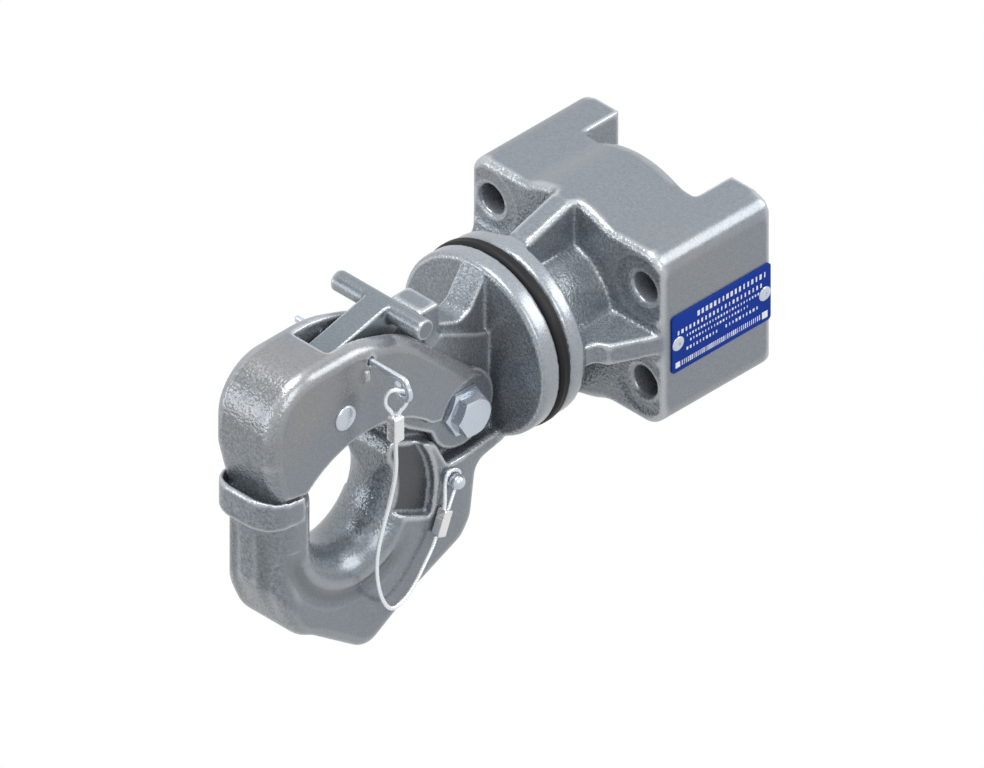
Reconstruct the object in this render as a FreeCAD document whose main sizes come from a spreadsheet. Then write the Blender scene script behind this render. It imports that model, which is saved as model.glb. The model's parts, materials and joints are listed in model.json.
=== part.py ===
import FreeCAD, Part
import math
import os
import re

# Hook coupling with a swivelling hook, a hinged latch and a locking lever.
# Frame: origin on the rear mounting face at the swivel axis, which is the Y axis.
# The hook points to -Y, +Z is up, +X is the side that carries the type plate.

SIZES = {
    # bearing housing
    "hole_margin": 10.5, "hole_pitch_upright": 45.0, "hole_radius": 6.5,
    "spot_radius": 14.2, "spot_depth": 1.0,
    "block_half_width": 53.0, "block_half_height": 41.0, "block_depth": 61.0,
    "hole_pitch_across": "=2 * (block_half_width - hole_margin)",
    "block_corner": 9.0, "block_edge": 3.0,
    "dome_radius": 46.8, "dome_blend": 14.0, "dome_edge": 6.0,
    "lug_inner": 31.0, "recess_depth": 17.0,
    "neck_radius": 26.5, "neck_length": 28.0, "collar_radius": 39.7, "collar_length": 8.25,
    "bore_radius": 20.0, "upright_rib": 5.5, "side_rib": 4.8, "side_rib_reach": 43.0,
    "side_rib_start": 20.0,
    # swivel bearing
    "shank_radius": 16.0, "running_gap": 0.05, "bush_length": 30.0, "bush_inset": 2.0,
    "seal_radius": 40.4, "seal_width": 6.0, "seal_bore": 30.0,
    "thrust_radius": 28.0, "thrust_thickness": 2.0,
    "thread_radius": 12.0, "washer_radius": 24.0, "washer_thickness": 3.0,
    "nut_width": 36.0, "nut_height": 10.5, "nut_slot": 4.0, "nut_slot_depth": 4.5,
    "cotter_radius": 1.6, "thread_inset": 2.0,
    "nipple_across": 33.0, "nipple_back": 45.0, "nipple_width": 7.0,
    # type plate
    "plate_length": 54.9, "plate_height": 27.0, "plate_thickness": 0.8,
    "plate_rear": 0.6, "plate_middle": -2.5, "rivet_radius": 3.2, "rivet_inset": 3.4,
    # hook
    "disc_radius": 39.9, "disc_thickness": 9.0,
    "jaw_half_width": 17.0, "neck_half_width": 15.0, "hub_half_width": 9.2,
    "rib_half_width": 6.7, "lug_half_width": 8.3,
    "throat_back": 192.0, "throat_drop": 33.0, "throat_radius": 19.5, "throat_flare": 20.0,
    "hook_drop": 101.5, "neck_drop": 41.5, "jaw_round": 5.0,
    "horn_front": 238.5, "lip_front": 243.0, "lip_top": 5.5, "lip_height": 14.5,
    "horn_top": 13.6, "horn_round": 13.0, "lip_overhang": 1.0, "lip_wall": 2.7,
    "lip_round": 12.5, "lip_inner_round": 9.5, "lip_side": 9.3, "nose_half_width": 16.0,
    "nose_gap": 0.6,
    "side_recess": 13.0, "side_recess_radius": 40.0,
    "catch_front": 150.5, "catch_rear": 139.0, "catch_top": 38.5,
    # latch
    "pivot_back": 131.5, "pivot_drop": 14.5, "pivot_radius": 5.0,
    "ear_radius": 17.5, "ear_half_width": 13.5, "latch_half_width": 17.0,
    "cheek_inner": 9.5, "latch_front": 240.6, "latch_top": 46.5,
    "slot_front": 203.0, "underside_radius": 50.0, "underside_back": 187.0,
    "underside_drop": 45.5, "bolt_recess": 15.0, "latch_round": 6.0,
    "shell_wall": 4.0, "peg_height": 2.2, "band_drop": 3.4,
    # lever, lever pin and safety pin
    "lever_back": 200.4, "lever_rise": 17.5, "lever_half_width": 6.25,
    "lever_pin_radius": 3.5, "lever_boss": 7.5,
    "bar_back": 163.1, "bar_rise": 44.7, "bar_radius": 4.4, "bar_half_length": 24.5,
    "lever_top": 40.3,
    "catch_sweep": 57.6,
    "pin_back": 185.9, "pin_rise": 37.4, "wire_radius": 1.5, "wire_gap": 0.35,
    "lever_swing": 16.0, "lever_head": 5.5, "rivet_head": 1.6, "spring_wire": 0.9,
    "pin_tail": 25.0, "pin_reach": 34.7, "pin_eye": 3.4, "pin_eye_drop": 2.0,
    # pivot bolt and tether
    "hex_width": 16.0, "head_height": 5.2, "pivot_washer_radius": 10.5,
    "pivot_washer_thickness": 2.5, "stud_back": 142.8, "stud_drop": 39.6,
    "stud_ball": 3.3, "stud_neck": 2.0, "stud_seat": 10.0, "stud_out": 21.5,
    "cable_radius": 0.9, "ferrule_width": 5.3, "ferrule_length": 11.6, "ferrule_below": 13.9,
    "ferrule_aside": 4.2,
    "ferrule_lean": 22.0, "ferrule_out": 20.0, "ferrule_below_stud": 12.4,
}

doc = FreeCAD.newDocument("HookCoupling")
sheet = doc.addObject("Spreadsheet::Sheet", "Sizes")
for row, (alias, value) in enumerate(SIZES.items(), start=1):
    sheet.set(f"A{row}", alias)
    sheet.set(f"B{row}", str(value))
    sheet.setAlias(f"B{row}", alias)
doc.recompute()

X_AXIS = FreeCAD.Vector(1, 0, 0)
Y_AXIS = FreeCAD.Vector(0, 1, 0)
Z_AXIS = FreeCAD.Vector(0, 0, 1)
TURNS = {
    "X": FreeCAD.Rotation(Y_AXIS, 90),
    "Y": FreeCAD.Rotation(X_AXIS, -90),
    "Z": FreeCAD.Rotation(),
}
BEYOND = 2 * SIZES["lip_front"]  # outside every outline
THROUGH = "4 * (block_depth + neck_length)"  # longer than any cut needs to be


def size(alias):
    """Value of one driving dimension."""
    return float(sheet.get(alias))


def bind(item, prop, formula):
    """Tie a property to the sheet; the words of the formula are aliases."""
    item.setExpression(prop, re.sub(r"[a-z_]+", lambda word: "Sizes." + word.group(0), formula))


# Helpers that make the objects

def place(item, base, axis):
    """Turn the item's local Z to an axis and bind its base point."""
    item.Placement = FreeCAD.Placement(FreeCAD.Vector(), TURNS[axis])
    for letter, formula in zip("xyz", base):
        if formula != "0":
            bind(item, "Placement.Base." + letter, formula)


def cylinder(name, radius, height, base, axis):
    """Round bar from its base point along the positive axis."""
    item = doc.addObject("Part::Cylinder", name)
    bind(item, "Radius", radius)
    bind(item, "Height", height)
    place(item, base, axis)
    return item


def ball(name, radius, centre):
    """Sphere with a bound centre."""
    item = doc.addObject("Part::Sphere", name)
    bind(item, "Radius", radius)
    place(item, centre, "Z")
    return item


def box(name, length, width, height, corner):
    """Box from its lowest corner."""
    item = doc.addObject("Part::Box", name)
    bind(item, "Length", length)
    bind(item, "Width", width)
    bind(item, "Height", height)
    place(item, corner, "Z")
    return item


def hexagon(name, width, height, base, axis):
    """Hexagonal bar, its width measured across the flats."""
    item = doc.addObject("Part::Prism", name)
    item.Polygon = 6
    bind(item, "Circumradius", f"({width}) / 1.7320508")
    bind(item, "Height", height)
    place(item, base, axis)
    return item


def fuse(name, items):
    """Union of several objects."""
    item = doc.addObject("Part::MultiFuse", name)
    item.Shapes = items
    item.Refine = True
    return item


def cut(name, base, tool):
    """First object less the second."""
    item = doc.addObject("Part::Cut", name)
    item.Base = base
    item.Tool = tool
    item.Refine = True
    return item


def tangent_path(corners):
    """Closed lines and arcs through corners given as (a, b, radius)."""
    count = len(corners)
    joints = []
    for i in range(count):
        before, here, after = corners[i - 1], corners[i], corners[(i + 1) % count]
        point = FreeCAD.Vector(here[0], here[1], 0)
        back = (FreeCAD.Vector(before[0], before[1], 0) - point).normalize()
        ahead = (FreeCAD.Vector(after[0], after[1], 0) - point).normalize()
        radius = here[2]
        if radius == 0:
            joints.append((point, None, point))
            continue
        half = back.getAngle(ahead) / 2
        reach = radius / math.tan(half)
        middle = (back + ahead).normalize()
        centre = point + middle * (radius / math.sin(half))
        joints.append((point + back * reach, centre - middle * radius, point + ahead * reach))
    path = []
    for i, (start, bulge, end) in enumerate(joints):
        if bulge is not None:
            path.append(Part.Arc(start, bulge, end))
        following = joints[(i + 1) % count][0]
        if (following - end).Length > 1e-6:
            path.append(Part.LineSegment(end, following))
    return path


def flat(across, up):
    """Point in a sketch's plane."""
    return FreeCAD.Vector(across, up, 0)


def around(centre, radius, angle):
    """Point on a circle, its angle in degrees."""
    turn = math.radians(angle)
    return flat(centre[0] + radius * math.cos(turn), centre[1] + radius * math.sin(turn))


def circle(across, up, radius):
    """One circle as a path."""
    return [Part.Circle(FreeCAD.Vector(across, up, 0), Z_AXIS, radius)]


class Casting:
    """Body built from sketches on the origin planes."""

    def __init__(self, name):
        self.body = doc.addObject("PartDesign::Body", name)
        self.count = 0

    def sketch(self, plane, paths, offset="0"):
        """Sketch on an origin plane, moved along its normal."""
        self.count += 1
        item = self.body.newObject("Sketcher::SketchObject", f"{self.body.Name}Sketch{self.count}")
        base = [f for f in self.body.Origin.OriginFeatures if f.Role == plane][0]
        item.AttachmentSupport = [(base, "")]
        item.MapMode = "FlatFace"
        if offset != "0":
            bind(item, "AttachmentOffset.Base.z", offset)
        for path in paths:
            item.addGeometry(path, False)
        return item

    def feature(self, kind, sketch, length, both=False, reverse=False):
        """Pad or pocket of a sketch."""
        item = self.body.newObject("PartDesign::" + kind, f"{self.body.Name}{kind}{self.count}")
        item.Profile = sketch
        bind(item, "Length", length)
        item.Midplane = both
        item.Reversed = reverse
        sketch.Visibility = False
        doc.recompute()
        return item

    def pad(self, plane, paths, length, offset="0", both=False, reverse=False):
        """Add material."""
        return self.feature("Pad", self.sketch(plane, paths, offset), length, both, reverse)

    def pocket(self, plane, paths, length=THROUGH, offset="0", both=False, reverse=False):
        """Remove material."""
        return self.feature("Pocket", self.sketch(plane, paths, offset), length, both, reverse)

    def groove(self, plane, path, out, up):
        """Cut turned about the sketch's own horizontal axis."""
        sketch = self.sketch(plane, [path], out)
        bind(sketch, "AttachmentOffset.Base.y", up)
        item = self.body.newObject("PartDesign::Groove", f"{self.body.Name}Groove{self.count}")
        item.Profile = sketch
        item.ReferenceAxis = (sketch, ["H_Axis"])
        item.Angle = 360
        sketch.Visibility = False
        doc.recompute()
        return item

    def fillet(self, radius, chosen):
        """Round the edges that the test picks."""
        tip = self.body.Tip
        names = [f"Edge{i}" for i, edge in enumerate(tip.Shape.Edges, start=1) if chosen(edge)]
        item = self.body.newObject("PartDesign::Fillet", f"{self.body.Name}Fillet{self.count}")
        self.count += 1
        item.Base = (tip, names)
        bind(item, "Radius", radius)
        doc.recompute()
        return item


PARTS = {}


def keep(node, item):
    """Name a finished sub-part."""
    item.Label = node
    PARTS[node] = item
    return item


def near(value, target, slack=0.01):
    """True when two lengths agree."""
    return abs(value - target) < slack


def at_level(edge, axis, level):
    """True when the whole edge lies in the plane where that coordinate has the level."""
    bounds = edge.BoundBox
    low, high = {"x": (bounds.XMin, bounds.XMax), "y": (bounds.YMin, bounds.YMax),
                 "z": (bounds.ZMin, bounds.ZMax)}[axis]
    return near(low, level) and near(high, level)


# Places along the swivel axis, worked out from the sizes

FRONT = -size("block_depth")
COLLAR_REAR = FRONT - size("neck_length")
COLLAR_FRONT = COLLAR_REAR - size("collar_length")
DISC_REAR = COLLAR_FRONT - size("seal_width") - size("running_gap")
DISC_FRONT = DISC_REAR - size("disc_thickness")
PIVOT = (-size("pivot_back"), -size("pivot_drop"))
PIN = (-size("pin_back"), size("pin_rise"))
LEVER_PIVOT = (-size("lever_back"), size("lever_rise"))
THROAT = (-size("throat_back"), -size("throat_drop"))
CHIN = -size("hook_drop")
NECK_LOW = -size("neck_drop")
EAR_LOW = PIVOT[1] - size("ear_radius") - 1.8
FRONT_OF_NUT = -size("recess_depth") + size("running_gap") + size("washer_thickness")
COLLAR_FRONT_AT = "0 - block_depth - neck_length - collar_length"
DISC_REAR_AT = COLLAR_FRONT_AT + " - seal_width - running_gap"


def rounded_block(half_width, half_height, corner):
    """Rectangle about the origin with round corners."""
    return tangent_path([(side * half_width, up * half_height, corner)
                         for side, up in ((-1, -1), (1, -1), (1, 1), (-1, 1))])


def make_housing():
    """Cast housing: bolted block with a dome, neck, collar and ribs."""
    housing = Casting("Housing")
    half, tall = size("block_half_width"), size("block_half_height")
    housing.pad("XZ_Plane", [rounded_block(half, tall, size("block_corner"))], "block_depth")
    housing.pad("XZ_Plane", [circle(0, 0, size("dome_radius"))], "block_depth")

    def saddle(edge):
        bounds = edge.BoundBox
        return (near(bounds.YLength, size("block_depth"), 0.1) and bounds.XLength < 0.01
                and near(abs(bounds.Center.z), tall) and abs(bounds.Center.x) < half - 12)

    housing.fillet("dome_blend", saddle)
    inner = size("lug_inner")
    housing.pocket("XZ_Plane", [rounded_block(inner, size("dome_radius") + 10, 0)],
                   "recess_depth", reverse=True)
    housing.fillet("dome_edge", lambda edge: at_level(edge, "y", -size("recess_depth"))
                   and near(edge.BoundBox.ZMax, size("dome_radius"), 0.1))
    housing.fillet("block_edge", lambda edge: at_level(edge, "y", FRONT))
    housing.pad("XZ_Plane", [circle(0, 0, size("neck_radius"))],
                "block_depth + neck_length - recess_depth", offset="recess_depth")
    housing.pad("XZ_Plane", [circle(0, 0, size("collar_radius"))], "collar_length",
                offset="block_depth + neck_length")
    top, low = size("dome_radius") - 0.4, size("neck_radius") - 6
    collar = size("collar_radius")
    for side in (1, -1):
        rib = [(FRONT + 3, side * top, 0), (FRONT - 2, side * top, 2),
               (COLLAR_REAR + 2, side * (collar - 0.6), 2), (COLLAR_REAR - 1, side * (low + 8), 0),
               (COLLAR_REAR - 1, side * low, 0), (FRONT + 3, side * low, 0)]
        housing.pad("YZ_Plane", [tangent_path(rib)], "2 * upright_rib", both=True)
        start, reach = size("side_rib_start"), size("side_rib_reach")
        plan = [(side * start, FRONT + 2, 0), (side * (half - 0.5), FRONT + 2, 0),
                (side * (half - 1), FRONT, 3), (side * reach, COLLAR_REAR + 9, 2),
                (side * (collar - 1.5), COLLAR_REAR + 6.5, 2), (side * (collar - 3), COLLAR_REAR - 1, 0),
                (side * start, COLLAR_REAR - 1, 0)]
        housing.pad("XY_Plane", [tangent_path(plan)], "2 * side_rib", both=True)
    pitch, upright = size("hole_pitch_across") / 2, size("hole_pitch_upright") / 2
    places = [(a * pitch, b * upright) for a in (-1, 1) for b in (-1, 1)]
    housing.pocket("XZ_Plane", [circle(a, b, size("spot_radius")) for a, b in places],
                   "neck_length / 2", offset="block_depth - spot_depth", reverse=True)
    housing.pocket("XZ_Plane", [circle(a, b, size("hole_radius")) for a, b in places], both=True)
    housing.pocket("XZ_Plane", [circle(0, 0, size("bore_radius"))], both=True)
    keep("bearing_housing", housing.body)


def make_bearing():
    """Bushes, seal, thrust washer, rear washer, nut, cotter and grease nipple."""
    starts = {
        "front_bush": COLLAR_FRONT_AT + " + bush_inset",
        "rear_bush": "0 - recess_depth - bush_length",
    }
    for node, start in starts.items():
        outer = cylinder(node + "_outer", "bore_radius", "bush_length", ("0", start, "0"), "Y")
        inner = cylinder(node + "_inner", "shank_radius + running_gap", "bush_length",
                         ("0", start, "0"), "Y")
        keep(node, cut(node + "_ring", outer, inner))

    seal_start = DISC_REAR_AT + " + running_gap"
    outer = cylinder("seal_outer", "seal_radius", "seal_width", ("0", seal_start, "0"), "Y")
    inner = cylinder("seal_inner", "seal_bore", "seal_width", ("0", seal_start, "0"), "Y")
    ring = cut("seal_ring", outer, inner)
    doc.recompute()
    seal = doc.addObject("Part::Fillet", "seal_round")
    seal.Base = ring
    rims = [i for i, edge in enumerate(ring.Shape.Edges, start=1)
            if near(edge.BoundBox.XMax, size("seal_radius"), 0.1) and edge.Closed]
    seal.Edges = [(i, size("seal_width") / 2.6, size("seal_width") / 2.6) for i in rims]
    keep("dust_seal", seal)

    thrust_start = COLLAR_FRONT_AT + " - thrust_thickness"
    outer = cylinder("thrust_outer", "thrust_radius", "thrust_thickness",
                     ("0", thrust_start, "0"), "Y")
    inner = cylinder("thrust_inner", "shank_radius + running_gap", "thrust_thickness",
                     ("0", thrust_start, "0"), "Y")
    keep("thrust_washer", cut("thrust_ring", outer, inner))

    washer_start = "0 - recess_depth + running_gap"
    outer = cylinder("rear_outer", "washer_radius", "washer_thickness",
                     ("0", washer_start, "0"), "Y")
    inner = cylinder("rear_inner", "thread_radius", "washer_thickness",
                     ("0", washer_start, "0"), "Y")
    keep("rear_washer", cut("rear_ring", outer, inner))

    nut_start = washer_start + " + washer_thickness"
    blank = hexagon("nut_blank", "nut_width", "nut_height", ("0", nut_start, "0"), "Y")
    bore = cylinder("nut_bore", "thread_radius", "nut_height", ("0", nut_start, "0"), "Y")
    nut = cut("nut_ring", blank, bore)
    slot_start = nut_start + " + nut_height - nut_slot_depth"
    for number in range(3):
        slot = doc.addObject("Part::Box", f"nut_slot{number}")
        bind(slot, "Length", "3 * nut_width")
        bind(slot, "Width", "nut_slot_depth")
        bind(slot, "Height", "nut_slot")
        turn = FreeCAD.Rotation(Y_AXIS, 60 * number)
        depth = FRONT_OF_NUT + size("nut_height") - size("nut_slot_depth")
        corner = FreeCAD.Vector(-1.5 * size("nut_width"), depth, -size("nut_slot") / 2)
        slot.Placement = FreeCAD.Placement(FreeCAD.Vector(), turn).multiply(
            FreeCAD.Placement(corner, FreeCAD.Rotation()))
        nut = cut(f"nut_castle{number}", nut, slot)
    keep("shaft_nut", nut)

    middle = slot_start + " + nut_slot_depth / 2"
    leg = cylinder("cotter_leg", "cotter_radius", "nut_width * 1.2",
                   ("0 - nut_width * 0.62", middle, "0"), "X")
    head = doc.addObject("Part::Torus", "cotter_eye")
    bind(head, "Radius1", "cotter_radius * 1.6")
    bind(head, "Radius2", "cotter_radius * 0.6")
    place(head, ("0 - nut_width * 0.62 - cotter_radius * 1.6", middle, "0"), "Z")
    keep("cotter_pin", fuse("cotter_whole", [leg, head]))

    across = "nipple_across"
    back = "0 - nipple_back"
    base = hexagon("nipple_hex", "nipple_width", "nipple_width / 2",
                   (across, back, "0 - block_half_height - nipple_width / 2"), "Z")
    stem = cylinder("nipple_stem", "nipple_width * 0.28", "nipple_width",
                    (across, back, "0 - block_half_height - nipple_width"), "Z")
    tip = ball("nipple_tip", "nipple_width * 0.36",
               (across, back, "0 - block_half_height - nipple_width"))
    keep("grease_nipple", fuse("nipple_whole", [base, stem, tip]))


def make_hook():
    """Hook forging: shank, disc, neck, throat, horn, lip and catch lug."""
    hook = Casting("Hook")
    jaw, neck = size("jaw_half_width"), size("neck_half_width")
    horn, top = -size("horn_front"), -size("horn_top")
    side = [(DISC_FRONT + 4, NECK_LOW, 0), (DISC_FRONT - 12.4, NECK_LOW - 3, 4),
            (PIVOT[0] + 3.5, NECK_LOW - 24.5, 10), (PIVOT[0] - 2.5, NECK_LOW - 32.5, 8),
            (THROAT[0] + 32, CHIN + 16, 40), (THROAT[0] + 5, CHIN, 10),
            (THROAT[0] - 24, CHIN + 20.5, 30), (THROAT[0] - 34, CHIN + 25, 18),
            (horn - 1, THROAT[1] - 15, 25), (horn - 1, top, 0), (THROAT[0] - 13, top, 0),
            (THROAT[0] - 13, THROAT[1] + 13, 0), (THROAT[0] + 17, THROAT[1] + 13, 0),
            (THROAT[0] + 22, PIVOT[1] + 3, 2), (PIVOT[0] - 18, PIVOT[1] - 6, 3),
            (PIVOT[0] - 11.3, EAR_LOW, 3), (DISC_FRONT + 4, EAR_LOW, 0)]
    hook.pad("YZ_Plane", [tangent_path(side)], "2 * jaw_half_width", both=True)
    waist = [(neck, DISC_FRONT + 6, 0), (neck, PIVOT[0] + 12, 20), (jaw, PIVOT[0] - 3, 20),
             (jaw, horn, size("horn_round"))]
    plan = waist + [(-x, y, radius) for x, y, radius in reversed(waist)]
    frame = [(-BEYOND, -2 * BEYOND, 0), (BEYOND, -2 * BEYOND, 0), (BEYOND, 0, 0), (-BEYOND, 0, 0)]
    hook.pocket("XY_Plane", [tangent_path(frame), tangent_path(plan)], both=True)

    def lower_rim(edge):
        bounds = edge.BoundBox
        return (near(bounds.XMin, bounds.XMax) and near(abs(bounds.XMin), jaw)
                and bounds.ZMax < THROAT[1] - 14)

    hook.fillet("jaw_round", lower_rim)

    lip, back = -size("lip_front"), THROAT[0] - 30
    wide = jaw + size("lip_overhang")
    bend = size("lip_round")
    outline = [(wide, back, 2), (wide, lip, bend), (-wide, lip, bend), (-wide, back, 2)]
    hook.pad("XY_Plane", [tangent_path(outline)], "lip_height",
             offset="0 - lip_top - lip_height")
    inner, face = size("nose_half_width") + size("nose_gap"), lip + size("lip_wall")
    bend = size("lip_inner_round")
    pocket = [(inner, back + 20, 0), (inner, face, bend), (-inner, face, bend),
              (-inner, back + 20, 0)]
    hook.pocket("XY_Plane", [tangent_path(pocket)], offset="0 - horn_top", reverse=True)
    slope = [(lip - 2, -size("lip_top"), 0), (back + 2, -size("lip_side"), 0), (back + 2, 0, 0),
             (lip - 2, 0, 0)]
    hook.pocket("YZ_Plane", [tangent_path(slope)], "3 * jaw_half_width", both=True)

    hub = [(DISC_FRONT + 4, PIVOT[1] + 24, 0), (DISC_FRONT - 7, PIVOT[1] + 28.2, 3),
           (-size("catch_rear"), PIVOT[1] + 37.7, 0), (PIVOT[0] - 15.5, PIVOT[1] + 34, 3),
           (PIVOT[0] - 25.5, PIVOT[1] + 16.5, 6), (PIVOT[0] - 36, PIVOT[1] + 4, 4),
           (THROAT[0] + 16, THROAT[1] + 8, 0), (THROAT[0] + 16, THROAT[1] - 4, 0),
           (PIVOT[0] - 18, THROAT[1] - 14, 0), (DISC_FRONT + 4, NECK_LOW + 3, 0)]
    hook.pad("YZ_Plane", [tangent_path(hub)], "2 * hub_half_width", both=True)
    catch_top, front, rear = size("catch_top"), -size("catch_front"), -size("catch_rear")
    rib = [(DISC_FRONT + 4, catch_top - 1, 0), (DISC_FRONT, catch_top - 1, 0),
           (DISC_FRONT - 11.2, PIVOT[1] + 35.2, 8), (rear, PIVOT[1] + 41.3, 0),
           (rear - 5, PIVOT[1] + 30, 0), (DISC_FRONT + 4, PIVOT[1] + 10, 0)]
    hook.pad("YZ_Plane", [tangent_path(rib)], "2 * rib_half_width", both=True)
    lug = [(rear, catch_top, 2.5), (front, catch_top, 2), (front, PIVOT[1] + 31, 0),
           (rear, PIVOT[1] + 31, 0)]
    hook.pad("YZ_Plane", [tangent_path(lug)], "2 * lug_half_width", both=True)

    across = size("throat_flare") - 1
    flare, radius = size("throat_flare"), size("throat_radius")
    mouth = radius + flare - math.sqrt(flare ** 2 - across ** 2)
    bell = [Part.LineSegment(flat(-across, 0), flat(-across, mouth)),
            Part.Arc(flat(-across, mouth), flat(0, radius), flat(across, mouth)),
            Part.LineSegment(flat(across, mouth), flat(across, 0)),
            Part.LineSegment(flat(across, 0), flat(-across, 0))]
    hook.groove("XZ_Plane", bell, "throat_back", "0 - throat_drop")
    gap = [(THROAT[0] - 5, THROAT[1], 0), (THROAT[0] - 5, 30, 0),
           (THROAT[0] + 10, 30, 0), (THROAT[0] + radius, THROAT[1] + 14, 0),
           (THROAT[0] + radius, THROAT[1], 0)]
    hook.pocket("YZ_Plane", [tangent_path(gap)], "2 * jaw_half_width + 8", both=True)
    opening = [Part.Arc(flat(-across, THROAT[0] - mouth), flat(0, THROAT[0] - radius),
                        flat(across, THROAT[0] - mouth))]
    opening += [Part.LineSegment(flat(across, THROAT[0] - mouth), flat(across, THROAT[0])),
                Part.LineSegment(flat(across, THROAT[0]), flat(-across, THROAT[0])),
                Part.LineSegment(flat(-across, THROAT[0]), flat(-across, THROAT[0] - mouth))]
    hook.pocket("XY_Plane", [opening], "throat_drop", offset="0 - throat_drop", reverse=True)

    reach = size("side_recess_radius")
    middle = (THROAT[0] + 2, THROAT[1] - 7)
    low, mean, high = (around(middle, reach, angle) for angle in (-20, 14, 48))
    sector = [Part.Arc(low, mean, high), Part.LineSegment(high, flat(THROAT[0] + 7, high.y)),
              Part.LineSegment(flat(THROAT[0] + 7, high.y), flat(THROAT[0] + 7, THROAT[1] - 5)),
              Part.LineSegment(flat(THROAT[0] + 7, THROAT[1] - 5), low)]
    ear = [(PIVOT[0] - 44, PIVOT[1] + 14, 0), (PIVOT[0] - 36, PIVOT[1] + 4, 4),
           (PIVOT[0] - 17.5, PIVOT[1] - 5.5, 4), (PIVOT[0] - 9, PIVOT[1] - 17.6, 0),
           (PIVOT[0] + 5, PIVOT[1], 0), (PIVOT[0], PIVOT[1] + 60, 0),
           (PIVOT[0] - 44, PIVOT[1] + 60, 0)]
    for reverse, sign in ((False, "0 - "), (True, "")):
        hook.pocket("YZ_Plane", [sector], "jaw_half_width", sign + "side_recess",
                    reverse=reverse)
        hook.pocket("YZ_Plane", [tangent_path(ear)], "jaw_half_width",
                    sign + "hub_half_width", reverse=reverse)
        hook.pocket("YZ_Plane", [circle(*PIVOT, size("ear_radius") + 0.7)], "jaw_half_width",
                    sign + "hub_half_width", reverse=reverse)

    hook.pad("XZ_Plane", [circle(0, 0, size("disc_radius"))], "disc_thickness",
             offset="block_depth + neck_length + collar_length + seal_width + running_gap")
    hook.pad("XZ_Plane", [circle(0, 0, size("thrust_radius"))], "seal_width - thrust_thickness",
             offset="block_depth + neck_length + collar_length + thrust_thickness + running_gap")
    hook.pad("XZ_Plane", [circle(0, 0, size("shank_radius"))],
             "block_depth + neck_length + collar_length + seal_width - recess_depth",
             offset="recess_depth - running_gap")
    hook.pad("XZ_Plane", [circle(0, 0, size("thread_radius"))],
             "recess_depth - running_gap - thread_inset", offset="thread_inset")
    hook.pocket("YZ_Plane", [circle(*PIVOT, size("pivot_radius"))], both=True)
    hook.pocket("YZ_Plane", [circle(-size("stud_back"), -size("stud_drop"), size("stud_neck"))],
                "jaw_half_width", "stud_seat", reverse=True)
    cotter = FRONT_OF_NUT + size("nut_height") - size("nut_slot_depth") / 2
    hook.pocket("YZ_Plane", [circle(cotter, 0, size("cotter_radius"))], both=True)
    keep("hook_body", hook.body)


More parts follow.
